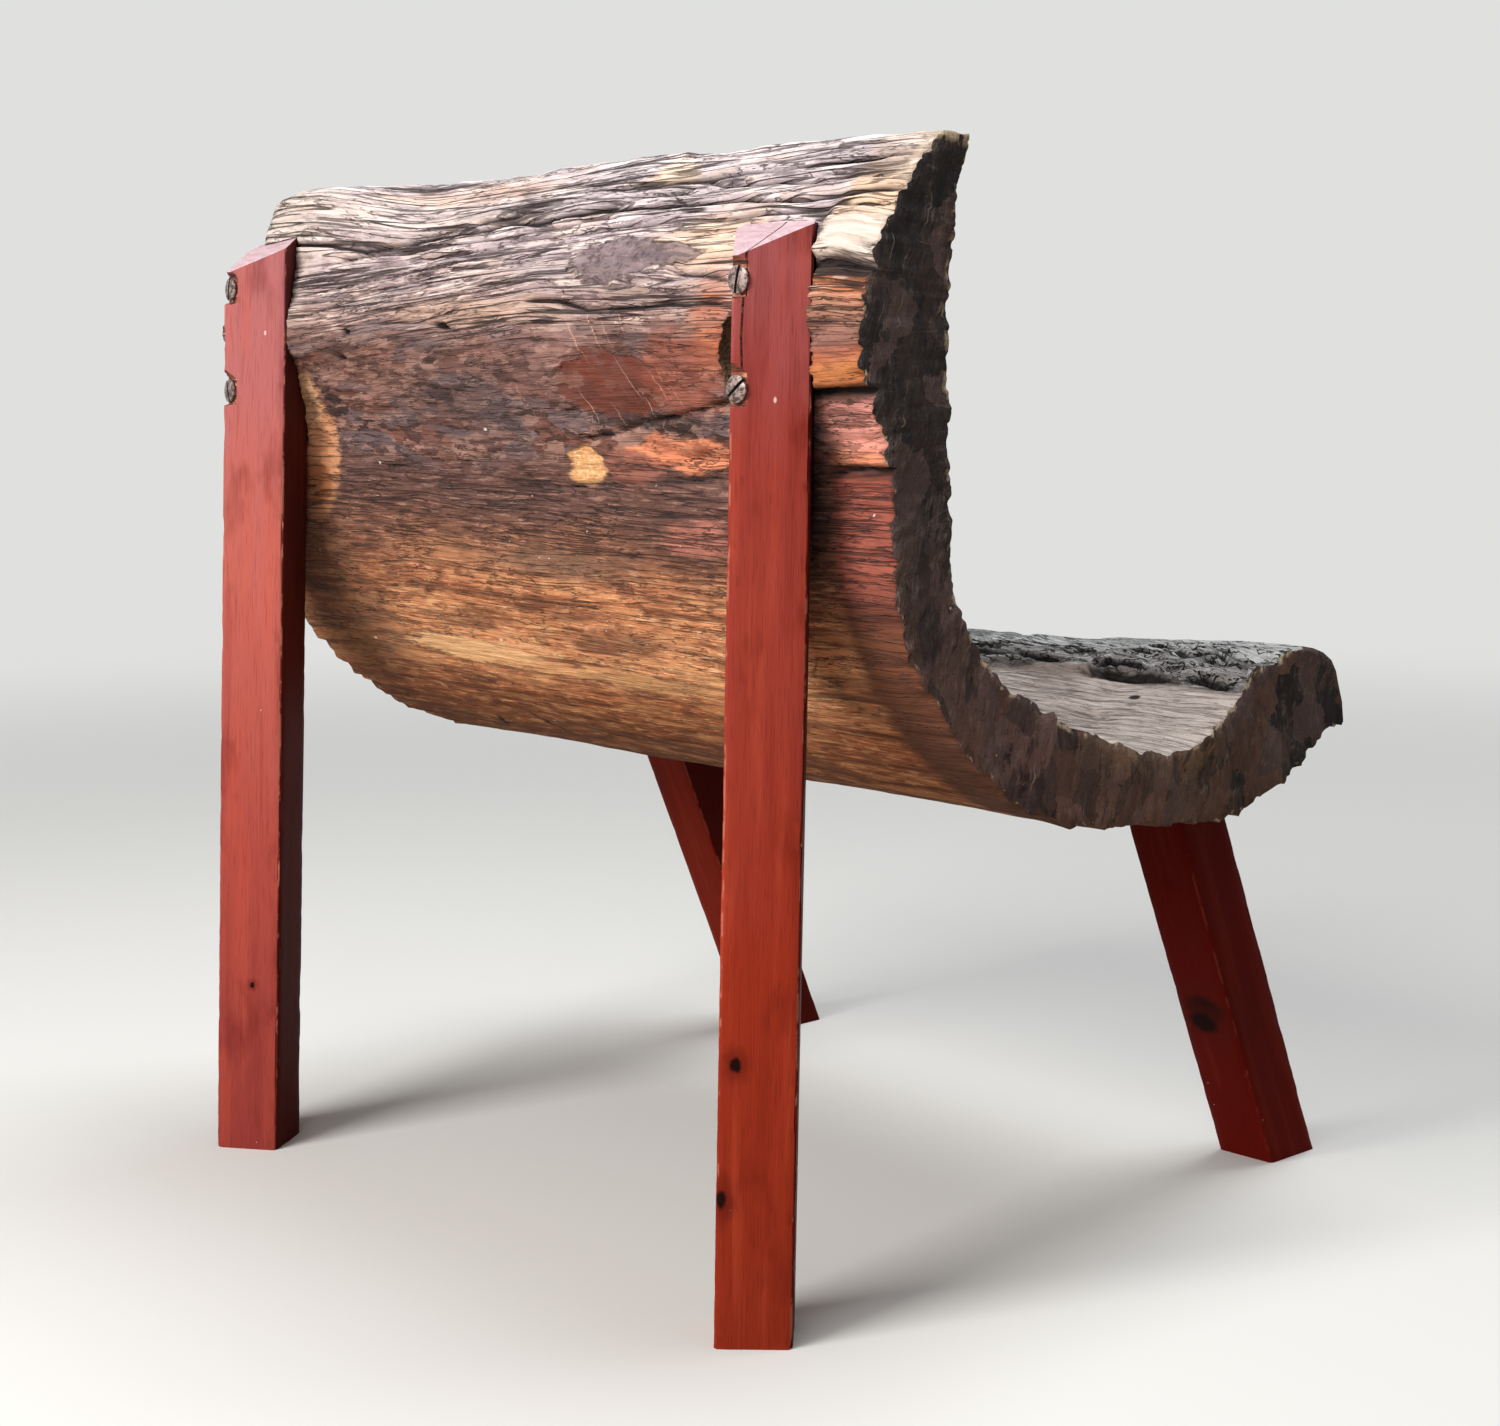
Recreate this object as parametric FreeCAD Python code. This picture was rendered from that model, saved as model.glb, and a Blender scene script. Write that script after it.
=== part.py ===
import FreeCAD, Part
import math
import os

# Slab chair: a length of hollow log, split so that its wall makes a back, a seat and a front lip.
# Two square posts, set corner to the back, are let into the log and screwed to it.
# Two raked legs carry the front, each with a round tenon in the underside of the seat.
# X runs along the log with the sitter's left at +X, the chair faces -Y and Z is up. Millimetres.

# Log slab: its length, its turn to the posts, the lean of its left end, and the heights that change
# from end to end
slab_length = 520.0
log_turn = 0.5
left_lean = 2.8
top_height = 544.0
top_fall = 14.0
lip_height = 294.0
lip_sag = 12.0
lip_left_drop = 8.0

# Log slab section: distances forward of the line through the back feet, heights, and walls.
# Each drop is measured down from the place named before it.
top_forward = 69.0
top_width = 19.0
top_inner_drop = 5.0
shoulder_forward = 42.0
shoulder_drop = 34.0
crest_forward = 17.5
crest_drop = 55.0
crest_wall = 57.0
hollow_forward = 35.0
hollow_drop = 50.0
hollow_wall = 41.0
waist_forward = 40.0
waist_drop = 59.0
waist_wall = 39.0
bend_forward = 83.0
bend_height = 268.0
bend_wall = 40.0
rear_seat_forward = 150.0
rear_seat_under = 226.0
rear_seat_wall = 51.0
seat_forward = 245.0
seat_under = 213.0
seat_wall = 38.0
front_seat_forward = 292.0
front_seat_under = 213.0
front_seat_wall = 62.0
lip_under_forward = 336.0
lip_under_height = 229.0
lip_top_forward = 340.0
nose_forward = 379.0
nose_height = 250.0
nose_round = 13.0
arc_fit = 0.5

# Furrows and cracks in the log, each a line of places from right to left.
# A place is its share of half the log's length, its distance below the top, and the depth there.
top_furrow = [(-1.0, 12.0, 4.5), (-0.25, 20.0, 4.5), (0.22, 31.0, 2.0)]
long_furrow = [(-1.0, 28.0, 5.0), (-0.28, 31.0, 5.0), (0.76, 49.0, 4.0)]
left_furrow = [(0.05, 53.0, 1.5), (0.66, 79.0, 4.0)]
scab_furrow = [(-0.64, 63.0, 4.0), (-0.30, 68.0, 3.0)]
lower_furrow = [(-0.58, 75.0, 4.0), (-0.27, 78.0, 4.5), (-0.07, 72.0, 2.0)]
end_ledge = [(-1.0, 55.0, 4.5), (-0.82, 55.0, 4.5)]
end_crevice = [(-1.0, 112.5, 6.0), (-0.84, 114.0, 6.0)]
end_step = [(-1.0, 148.0, 4.0), (-0.84, 149.0, 4.0)]
wedge_crack = [(-0.65, 120.0, 5.5), (-0.29, 136.0, 5.5), (-0.15, 140.0, 2.0)]
chip_crack = [(-0.65, 155.0, 5.0), (-0.41, 159.0, 5.0), (-0.12, 164.0, 2.0)]

# Shape of every furrow: half its width at the skin for a depth of one, how near a sawn end its last
# section is measured, and how far to each side the slope of the skin is felt
furrow_spread = 0.75
furrow_run_out = 0.08
furrow_edge = 3.0

# Torn crack along the seat under the lip, as shares of half the length, distances forward, and depths
lip_crack = [(-1.0, 302.0, 6.0), (-0.35, 305.0, 6.0), (0.30, 301.0, 6.0), (1.0, 304.0, 6.0)]

# Back posts: square bars set corner to the back, leaning forward and a little inward
post_side = 36.0
post_arris = 1.5
post_inset = 50.5
post_lean = 2.48
post_inward = 0.57
post_length = 503.0
post_top_slope = 31.0
post_level_right = 504.5
post_level_left = 511.0
post_turn_right = 0.0
post_turn_left = -9.8
post_fit = 0.4

# Screws through the back corners of the posts, with the notches that their heads sit in
screw_length = 70.0
screw_shank = 6.1
screw_head = 12.6
screw_head_rim = 1.2
screw_head_cone = 3.0
screw_point = 9.0
screw_slot_width = 1.6
screw_slot_depth = 1.9
screw_fit = 0.1
head_stand = 2.4
notch_depth = 5.5
notch_margin = 1.0
notch_slope = 38.0
notch_under_slope = 14.0
screw_drop_right = 24.6
screw_pitch_right = 47.4
screw_drop_left = 23.0
screw_pitch_left = 55.0
slot_angle_upper_right = -12.0
slot_angle_lower_right = -52.0
slot_angle_upper_left = -8.0
slot_angle_lower_left = 20.0

# Front legs: square bars raked forward, with a round tenon at the top
leg_side = 36.0
leg_arris = 1.5
leg_inset = 61.0
leg_foot_forward = 400.0
leg_rake = 23.2
tenon_diameter = 25.0
tenon_length = 32.0
tenon_fit = 0.15
tenon_end_gap = 1.0
shoulder_fit = 0.2

RIGHT = -1
LEFT = 1
UP = FreeCAD.Vector(0, 0, 1)


def smooth_edges(points):
    """Arcs that run on from each other smoothly through the points."""
    curve = Part.BSplineCurve()
    curve.interpolate(points)
    return [arc.toShape() for arc in curve.toBiArcs(arc_fit)]


def section_point(forward, height):
    """A point of the section, on the plane across the middle of the log."""
    return FreeCAD.Vector(0, -forward, height)


def top_corners():
    """The outer and inner corners of the top and the shoulder behind it, at the right end."""
    outer = section_point(top_forward, top_height)
    inner = section_point(top_forward + top_width, top_height - top_inner_drop)
    shoulder = section_point(shoulder_forward, top_height - shoulder_drop)
    return outer, inner, shoulder


def slab_section():
    """The closed outline of the log wall."""
    bend_step = bend_wall / math.sqrt(2)
    crest_height = top_height - shoulder_drop - crest_drop
    hollow_height = crest_height - hollow_drop
    waist_height = hollow_height - waist_drop
    top_outer, top_inner, shoulder = top_corners()
    nose = section_point(nose_forward, nose_height)
    lip_top = section_point(lip_top_forward, lip_height)
    outer = [
        top_outer,
        shoulder,
        section_point(crest_forward, crest_height),
        section_point(hollow_forward, hollow_height),
        section_point(waist_forward, waist_height),
        section_point(bend_forward, bend_height),
        section_point(rear_seat_forward, rear_seat_under),
        section_point(seat_forward, seat_under),
        section_point(front_seat_forward, front_seat_under),
        section_point(lip_under_forward, lip_under_height),
        nose,
    ]
    inner = [
        lip_top,
        section_point(front_seat_forward, front_seat_under + front_seat_wall),
        section_point(seat_forward, seat_under + seat_wall),
        section_point(rear_seat_forward, rear_seat_under + rear_seat_wall),
        section_point(bend_forward + bend_step, bend_height + bend_step),
        section_point(waist_forward + waist_wall, waist_height),
        section_point(hollow_forward + hollow_wall, hollow_height),
        section_point(crest_forward + crest_wall, crest_height),
        top_inner,
    ]
    nose_out = (nose - lip_top).cross(FreeCAD.Vector(1, 0, 0)).normalize() * nose_round
    nose_edge = Part.Arc(nose, (nose + lip_top) / 2 + nose_out, lip_top).toShape()
    top_edge = Part.makeLine(top_inner, top_outer)
    return Part.Wire(smooth_edges(outer) + [nose_edge] + smooth_edges(inner) + [top_edge])


def top_waste():
    """The waste over the hewn top, which falls to the left and is bevelled down to the shoulder."""
    outer, inner, shoulder = top_corners()
    front = outer + (inner - outer) * slab_length / top_width
    back = outer + (shoulder - outer) * slab_length / shoulder_drop
    above = UP * 2 * slab_length
    profile = Part.makePolygon([front, outer, back, back + above, front + above, front])
    fall = FreeCAD.Vector(slab_length, 0, -top_fall)
    waste = Part.Face(profile).extrude(fall * 3)
    waste.translate(FreeCAD.Vector(-slab_length / 2, 0, 0) - fall)
    return waste


def lip_waste():
    """The waste over the front lip, which is scooped down from both ends."""
    half = slab_length / 2
    right_end = FreeCAD.Vector(-half, 0, lip_height)
    middle = FreeCAD.Vector(0, 0, lip_height - lip_sag)
    left_end = FreeCAD.Vector(half, 0, lip_height - lip_left_drop)
    scoop = Part.Arc(right_end, middle, left_end).toShape().Curve
    centre = FreeCAD.Vector(scoop.Center.x, -seat_forward, scoop.Center.z)
    return Part.makeCylinder(scoop.Radius, nose_forward, centre, FreeCAD.Vector(0, -1, 0))


def skin_point(log, eye, aim):
    """Where a ray from outside first meets the log."""
    ray = Part.makeLine(eye, eye + aim * log.BoundBox.DiagonalLength)
    return min((v.Point for v in ray.common(log).Vertexes), key=eye.distanceToPoint)


def furrow_cut(log, eye, aim, depth):
    """The three corners of a furrow's section, at the place that a ray meets."""
    step = aim.cross(FreeCAD.Vector(1, 0, 0)) * furrow_edge
    run = (skin_point(log, eye + step, aim) - skin_point(log, eye - step, aim)).normalize()
    out = run.cross(FreeCAD.Vector(1, 0, 0))
    out = out if out.dot(aim) < 0 else -out
    place = skin_point(log, eye, aim)
    side = 2 * run * depth * furrow_spread
    return [place - out * depth, place + out * depth + side, place + out * depth - side]


def furrow(log, places, aim):
    """A furrow along the skin of the log through places that lie on rays.
    At either end of the log its section is moved out past the sawn face."""
    half = slab_length / 2
    sections = []
    for share, eye, depth in places:
        inside = max(-1 + furrow_run_out, min(1 - furrow_run_out, share))
        past = FreeCAD.Vector((share - inside) * slab_length, 0, 0)
        start = FreeCAD.Vector(inside * half, eye.y, eye.z)
        corners = [corner + past for corner in furrow_cut(log, start, aim, depth)]
        sections.append(Part.makePolygon(corners + corners[:1]))
    return Part.makeLoft(sections, True, True)


def furrowed(log):
    """The log with its furrows and cracks cut into it."""
    back_lines = [
        top_furrow, long_furrow, left_furrow, scab_furrow, lower_furrow,
        end_ledge, end_crevice, end_step, wedge_crack, chip_crack,
    ]
    far = slab_length
    cuts = []
    for line in back_lines:
        places = [(at, FreeCAD.Vector(0, far, top_height - drop), deep) for at, drop, deep in line]
        cuts.append(furrow(log, places, FreeCAD.Vector(0, -1, 0)))
    seat = [(at, FreeCAD.Vector(0, -forward, top_height), deep) for at, forward, deep in lip_crack]
    cuts.append(furrow(log, seat, -UP))
    return log.cut(cuts)


def between_ends(reach):
    """The room between the two sawn ends. The left one was sawn out of square, short at the bottom."""
    half = slab_length / 2
    lean = math.tan(math.radians(left_lean))
    profile = Part.makePolygon([
        FreeCAD.Vector(-half, reach, -reach),
        FreeCAD.Vector(half - lean * (top_height + reach), reach, -reach),
        FreeCAD.Vector(half - lean * (top_height - reach), reach, reach),
        FreeCAD.Vector(-half, reach, reach),
        FreeCAD.Vector(-half, reach, -reach),
    ])
    return Part.Face(profile).extrude(FreeCAD.Vector(0, -2 * reach, 0))


def log_slab():
    """The log wall from end to end, hewn, sawn and weathered, before anything is let into it."""
    half = slab_length / 2
    log = Part.Face(slab_section()).extrude(FreeCAD.Vector(2 * slab_length, 0, 0))
    log.translate(FreeCAD.Vector(-slab_length, 0, 0))
    log.rotate(FreeCAD.Vector(-half, 0, 0), UP, -log_turn)
    log = log.cut(top_waste()).cut(lip_waste())
    return furrowed(log.common(between_ends(log.BoundBox.DiagonalLength)))


def square_bar(side, arris, low, high):
    """A square bar along Z with eased edges and its sides facing X and Y."""
    bar = Part.makeBox(side, side, high - low, FreeCAD.Vector(-side / 2, -side / 2, low))
    long_edges = [e for e in bar.Edges if abs(e.tangentAt(e.FirstParameter).dot(UP)) > 0.5]
    return bar.makeFillet(arris, long_edges)


def above_floor(shape):
    """The part of a shape that stands above the floor."""
    reach = shape.BoundBox.DiagonalLength
    floor = Part.makeBox(2 * reach, 2 * reach, reach, FreeCAD.Vector(-reach, -reach, -reach))
    floor.translate(FreeCAD.Vector(shape.BoundBox.Center.x, shape.BoundBox.Center.y, 0))
    return shape.cut(floor)


def post_place(side, turn):
    """Where a back post stands: its foot, its turn and its lean."""
    lean = math.tan(math.radians(post_lean))
    inward = math.tan(math.radians(post_inward))
    axis = FreeCAD.Vector(-side * inward, -lean, 1)
    tilt = FreeCAD.Rotation(UP, axis)
    foot = FreeCAD.Vector(side * (slab_length / 2 - post_inset), 0, 0)
    return FreeCAD.Placement(foot, tilt.multiply(FreeCAD.Rotation(UP, turn)))


def post_bar(level, extra):
    """A post's bar in its own frame, corner to the back at +Y, larger all round by a clearance.
    Its top slopes down to the back and is level in front."""
    bar = square_bar(post_side + 2 * extra, post_arris, -post_side, post_length + post_side)
    bar.rotate(FreeCAD.Vector(), UP, 45)
    reach = bar.BoundBox.DiagonalLength
    above = Part.makeBox(2 * reach, 2 * reach, reach, FreeCAD.Vector(-reach, -reach, extra))
    above.rotate(FreeCAD.Vector(), FreeCAD.Vector(1, 0, 0), -post_top_slope)
    above.translate(UP * post_length)
    higher = Part.makeBox(2 * reach, 2 * reach, reach, FreeCAD.Vector(-reach, -reach, extra))
    higher.translate(UP * level)
    return bar.cut(above).cut(higher)


def notch_seat():
    """How far behind a post's axis its screw heads are seated."""
    return post_side / math.sqrt(2) - notch_depth


def screw_round(extra, behind):
    """A screw's round form along -Y, larger by a clearance, with room for driving it from behind."""
    head = screw_head / 2 + extra
    shank = screw_shank / 2 + extra
    face = notch_seat() + head_stand
    rim = face - screw_head_rim
    neck = rim - screw_head_cone
    tip = face - screw_length
    profile = Part.makePolygon([
        FreeCAD.Vector(0, face + behind, 0),
        FreeCAD.Vector(head, face + behind, 0),
        FreeCAD.Vector(head, rim, 0),
        FreeCAD.Vector(shank, neck, 0),
        FreeCAD.Vector(shank, tip + screw_point, 0),
        FreeCAD.Vector(0, tip - extra, 0),
        FreeCAD.Vector(0, face + behind, 0),
    ])
    return Part.Face(profile).revolve(FreeCAD.Vector(), FreeCAD.Vector(0, 1, 0), 360)


def screw(height, slot_angle):
    """A slotted wood screw that lies along -Y at a height on its post."""
    face = notch_seat() + head_stand
    corner = FreeCAD.Vector(-screw_head, face - screw_slot_depth, -screw_slot_width / 2)
    slot = Part.makeBox(2 * screw_head, 2 * screw_slot_depth, screw_slot_width, corner)
    slot.rotate(FreeCAD.Vector(), FreeCAD.Vector(0, 1, 0), 90 + slot_angle)
    body = screw_round(0.0, 0.0).cut(slot)
    body.translate(UP * height)
    return body


def head_notch(height):
    """The notch chopped into a post's back corner for one screw head."""
    seat = notch_seat()
    run = post_side - seat
    top = height + screw_head / 2 + notch_margin
    bottom = height - screw_head / 2 - notch_margin
    rise = run * math.tan(math.radians(notch_slope))
    fall = run * math.tan(math.radians(notch_under_slope))
    profile = Part.makePolygon([
        FreeCAD.Vector(-post_side, seat, bottom),
        FreeCAD.Vector(-post_side, post_side, bottom - fall),
        FreeCAD.Vector(-post_side, post_side, top + rise),
        FreeCAD.Vector(-post_side, seat, top),
        FreeCAD.Vector(-post_side, seat, bottom),
    ])
    return Part.Face(profile).extrude(FreeCAD.Vector(2 * post_side, 0, 0))


def screw_hole(height, behind):
    """The hole for one screw in the wood round it."""
    hole = screw_round(screw_fit, behind)
    hole.translate(UP * height)
    return hole


def back_post(level, screw_heights):
    """A post in its own frame, with its screw notches and holes."""
    post = post_bar(level, 0.0)
    for height in screw_heights:
        post = post.cut(head_notch(height)).cut(screw_hole(height, post_side))
    return post


def post_housing(level, screw_heights):
    """The room that one post and its screws take in the log."""
    room = post_bar(level, post_fit)
    for height in screw_heights:
        room = room.fuse(screw_hole(height, 0.0))
    return room


def leg_place(side):
    """Where a front leg stands: its foot and its rake."""
    axis = FreeCAD.Vector(0, math.sin(math.radians(leg_rake)), math.cos(math.radians(leg_rake)))
    foot = FreeCAD.Vector(side * (slab_length / 2 - leg_inset), -leg_foot_forward, 0)
    return FreeCAD.Placement(foot, FreeCAD.Rotation(UP, axis))


def leg_rise(slab, place):
    """How far up its own axis a front leg meets the underside of the seat."""
    end = place.multVec(UP * slab.BoundBox.ZMax)
    inside = Part.makeLine(place.Base, end).common(slab)
    return min(v.Point.distanceToPoint(place.Base) for v in inside.Vertexes)


def front_leg(slab, place, rise):
    """A leg scribed to the underside of the seat, with its tenon."""
    bar = square_bar(leg_side, leg_arris, -leg_side, rise + tenon_length / 2)
    bar.Placement = place
    lowered = slab.copy()
    lowered.translate(place.Rotation.multVec(UP) * -shoulder_fit)
    bar = above_floor(bar).cut(lowered)
    root = rise - leg_side / 2
    tenon = Part.makeCylinder(tenon_diameter / 2, tenon_length + leg_side / 2, UP * root)
    tenon.Placement = place.multiply(tenon.Placement)
    return bar.fuse(tenon).removeSplitter()


def leg_mortise(place, rise):
    """The blind hole in the underside of the seat for one tenon."""
    depth = tenon_length + tenon_end_gap
    start = rise - leg_side / 2
    hole = Part.makeCylinder(tenon_diameter / 2 + tenon_fit, depth + leg_side / 2, UP * start)
    hole.Placement = place.multiply(hole.Placement)
    return hole


def chair():
    """Every piece of the chair by name, with the post line on Y = 0."""
    sides = [("right", RIGHT), ("left", LEFT)]
    turns = {"right": post_turn_right, "left": post_turn_left}
    levels = {"right": post_level_right, "left": post_level_left}
    uppers = {"right": post_length - screw_drop_right, "left": post_length - screw_drop_left}
    pitches = {"right": screw_pitch_right, "left": screw_pitch_left}
    slots = {
        "right": {"upper": slot_angle_upper_right, "lower": slot_angle_lower_right},
        "left": {"upper": slot_angle_upper_left, "lower": slot_angle_lower_left},
    }
    log = log_slab()
    slab = log
    pieces = {}
    for name, side in sides:
        place = post_place(side, turns[name])
        heights = {"upper": uppers[name], "lower": uppers[name] - pitches[name]}
        post = back_post(levels[name], heights.values())
        post.Placement = place
        pieces["back_post_" + name] = above_floor(post)
        housing = post_housing(levels[name], heights.values())
        housing.Placement = place
        slab = slab.cut(housing)
        for level, height in heights.items():
            fixing = screw(height, slots[name][level])
            fixing.Placement = place.multiply(fixing.Placement)
            pieces[level + "_screw_" + name] = fixing
        stand = leg_place(side)
        rise = leg_rise(log, stand)
        pieces["front_leg_" + name] = front_leg(log, stand, rise)
        slab = slab.cut(leg_mortise(stand, rise))
    pieces["log_slab"] = slab
    return pieces


def centre_of_feet(pieces):
    """The middle of the chair's footprint, from the backs of the posts to the fronts of the legs."""
    back = max(pieces[n].BoundBox.YMax for n in pieces if n.startswith("back_post"))
    front = min(pieces[n].BoundBox.YMin for n in pieces if n.startswith("front_leg"))
    return FreeCAD.Vector(0, (back + front) / 2, 0)


os.makedirs("parts", exist_ok=True)
made = chair()
origin = centre_of_feet(made)
for node, shape in made.items():
    shape.translate(-origin)
    solids = shape.Solids
    shape = solids[0] if len(solids) == 1 else Part.makeCompound(solids)
    shape.exportStep("parts/" + node + ".step")
    box = shape.BoundBox
    print(node, len(solids), shape.isValid(), round(shape.Volume), box)
print("post line at y =", round(-origin.y, 3))
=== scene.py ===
# %% [markdown]
# A small chair made from one slab of hollow log. The log's wall is its back, its seat and its lip.
# Two square posts are let into the back and screwed on, and two raked legs carry the front.
# The frame below is the chair as it is built. This lesson dresses it: weathered wood, stain and steel.

# %% Load the chair's frame
import bmesh
import bpy
import math
import numpy as np
from mathutils import Matrix, Vector
from mathutils.kdtree import KDTree


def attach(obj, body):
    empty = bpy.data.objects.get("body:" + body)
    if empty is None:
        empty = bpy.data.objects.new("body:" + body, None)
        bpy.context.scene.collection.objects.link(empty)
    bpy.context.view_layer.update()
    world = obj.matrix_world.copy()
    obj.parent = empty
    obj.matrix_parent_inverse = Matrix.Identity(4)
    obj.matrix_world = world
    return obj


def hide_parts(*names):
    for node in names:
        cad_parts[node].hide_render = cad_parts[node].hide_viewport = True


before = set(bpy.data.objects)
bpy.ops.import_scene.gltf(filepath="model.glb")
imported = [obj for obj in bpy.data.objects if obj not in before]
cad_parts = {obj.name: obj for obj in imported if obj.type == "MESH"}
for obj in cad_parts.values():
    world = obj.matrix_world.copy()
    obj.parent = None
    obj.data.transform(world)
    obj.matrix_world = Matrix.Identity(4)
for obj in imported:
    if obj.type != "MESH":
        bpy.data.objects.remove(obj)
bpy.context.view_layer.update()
mm = 0.001
to_metres = Matrix.Scale(mm, 4)


def put_in(name, data):
    """A new object in the scene."""
    made = bpy.data.objects.new(name, data)
    bpy.context.scene.collection.objects.link(made)
    return made


print("pieces of the frame:", sorted(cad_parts))

# %% [markdown]
# The photograph was taken from behind the chair, a little above the back, with the right end nearer.
# A camera is a place, a direction and a lens. Turning a direction into a matrix by hand keeps the
# small roll of a hand-held picture, which a Track To constraint would lose.

# %% Camera
camera_place = Vector((-1.0872, 1.0006, 0.4584))
camera_yaw = math.radians(132.461)
camera_fall = math.radians(8.1226)
camera_roll = math.radians(-0.4047)
camera_lens = 64.958

ahead = Vector((math.sin(camera_yaw) * math.cos(camera_fall),
                math.cos(camera_yaw) * math.cos(camera_fall),
                -math.sin(camera_fall)))
across = Vector((math.cos(camera_yaw), -math.sin(camera_yaw), 0))
upright = across.cross(ahead)
right_hand = across * math.cos(camera_roll) + upright * math.sin(camera_roll)
head_up = upright * math.cos(camera_roll) - across * math.sin(camera_roll)
camera_turn = Matrix((right_hand, head_up, -ahead)).transposed().to_4x4()

camera = put_in("camera", bpy.data.cameras.new("camera"))
camera.data.lens = camera_lens
camera.data.sensor_fit = "HORIZONTAL"
camera.matrix_world = Matrix.Translation(camera_place) @ camera_turn
bpy.context.scene.camera = camera
print("camera at", [round(c, 3) for c in camera_place])

# %% [markdown]
# Old wood is uneven in a way that runs with the grain. Three kinds of noise are enough for it:
# smooth waves, furrows that open where a wave crosses zero, and flat chips with edges between them.
# They are worked out on whole arrays of points, so a slab of many thousand points takes a moment.

# %% Noise for shapes
def draw(seed, i, j):
    """Repeatable random numbers from 0 to 1, one for each whole-number place."""
    wild = np.sin(i * 127.1 + j * 311.7 + seed * 74.7) * 43758.5453
    return wild - np.floor(wild)


def ease(low, high, value):
    """0 below low, 1 above high, and a soft rise between them."""
    share = np.clip((value - low) / (high - low), 0, 1)
    return share * share * (3 - 2 * share)


def band(value, low, high, soft):
    """1 between low and high, and 0 outside, with soft borders."""
    return ease(low - soft, low + soft, value) * (1 - ease(high - soft, high + soft, value))


def waves(u, v, seed):
    """Smooth noise from -1 to 1 that changes over a step of 1."""
    i, j = np.floor(u), np.floor(v)
    a, b = ease(0, 1, u - i), ease(0, 1, v - j)
    near = draw(seed, i, j) * (1 - a) + draw(seed, i + 1, j) * a
    far = draw(seed, i, j + 1) * (1 - a) + draw(seed, i + 1, j + 1) * a
    return 2 * (near * (1 - b) + far * b) - 1


def furrows(u, v, seed, narrow):
    """Lines from 0 to 1 that follow u, wander and join. A higher power makes them narrower."""
    return (1 - np.abs(waves(u, v, seed))) ** narrow


def chips(u, v, seed):
    """Flat chips, one to each step, of different heights and tilts."""
    i, j = np.floor(u), np.floor(v)
    nearest = np.full(u.shape, 9.0)
    level = np.zeros(u.shape)
    for di in (-1, 0, 1):
        for dj in (-1, 0, 1):
            ci, cj = i + di, j + dj
            du = u - ci - draw(seed, ci, cj)
            dv = v - cj - draw(seed + 1, ci, cj)
            away = du * du + dv * dv
            tilt = du * (draw(seed + 3, ci, cj) - 0.5) + dv * (draw(seed + 4, ci, cj) - 0.5)
            height = draw(seed + 2, ci, cj) - 0.5 + tilt
            closer = away < nearest
            level = np.where(closer, height, level)
            nearest = np.where(closer, away, nearest)
    return level


# %% [markdown]
# The log slab is the wall of a hollow log, so its section is two lines: the outside, from the top of
# the back round under the seat to the nose, and the inside, from the top to the lip.
# Each line runs smoothly through the few places that give it its shape.

# %% Section lines of the log
slab_half = 260.0
post_line = 197.363
outside_places = [(69, 544), (42, 510), (17.5, 455), (35, 405), (40, 346), (83, 268), (150, 226),
                  (245, 213), (292, 213), (336, 229), (379, 250)]
inside_places = [(88, 539), (74.5, 455), (76, 405), (79, 346), (111.3, 296.3), (150, 277),
                 (245, 251), (292, 275), (340, 294)]


def smooth_line(places, count=3000):
    """A curve through the places: shares of its length, points (y, z), outward normals, length."""
    points = np.array([(post_line - forward, height) for forward, height in places])
    knots = np.concatenate([[0], np.cumsum(np.linalg.norm(np.diff(points, axis=0), axis=1))])
    gaps = np.diff(knots)
    size = len(points)
    bends = np.eye(size)
    pull = np.zeros((size, 2))
    for k in range(1, size - 1):
        bends[k, k - 1:k + 2] = gaps[k - 1], 2 * (gaps[k - 1] + gaps[k]), gaps[k]
        pull[k] = 6 * ((points[k + 1] - points[k]) / gaps[k] - (points[k] - points[k - 1]) / gaps[k - 1])
    curve = np.linalg.solve(bends, pull)
    where = np.linspace(0, knots[-1], count)
    k = np.clip(np.searchsorted(knots, where) - 1, 0, size - 2)
    a = ((knots[k + 1] - where) / gaps[k])[:, None]
    b = 1 - a
    sag = ((a ** 3 - a) * curve[k] + (b ** 3 - b) * curve[k + 1]) * (gaps[k][:, None] ** 2) / 6
    line = a * points[k] + b * points[k + 1] + sag
    run = np.gradient(line, axis=0)
    run /= np.linalg.norm(run, axis=1)[:, None]
    travelled = np.concatenate([[0], np.cumsum(np.linalg.norm(np.diff(line, axis=0), axis=1))])
    normals = np.stack([-run[:, 1], run[:, 0]], axis=1)
    return travelled / travelled[-1], line, normals, travelled[-1]


outside = smooth_line(outside_places)
inside = smooth_line(inside_places)
print("outside line", round(outside[3]), "mm, inside line", round(inside[3]), "mm")

# %% [markdown]
# A log end is easiest to shape from a block: a cube cut into rows, columns and layers, then bent so
# that its rows follow the section. Rows are close together on the back, where the furrows are fine,
# and the columns are closer at the ends, where the saw and the weather have torn the wood.

# %% A block of rows, columns and layers
slab_columns = 118
slab_rows = 385
slab_layers = 7
skin_face = 0
end_face = 1


def to_mesh(bm, name):
    """A mesh from a finished bmesh, with smooth faces."""
    for face in bm.faces:
        face.smooth = True
    mesh = bpy.data.meshes.new(name)
    bm.to_mesh(mesh)
    bm.free()
    return mesh


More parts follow.
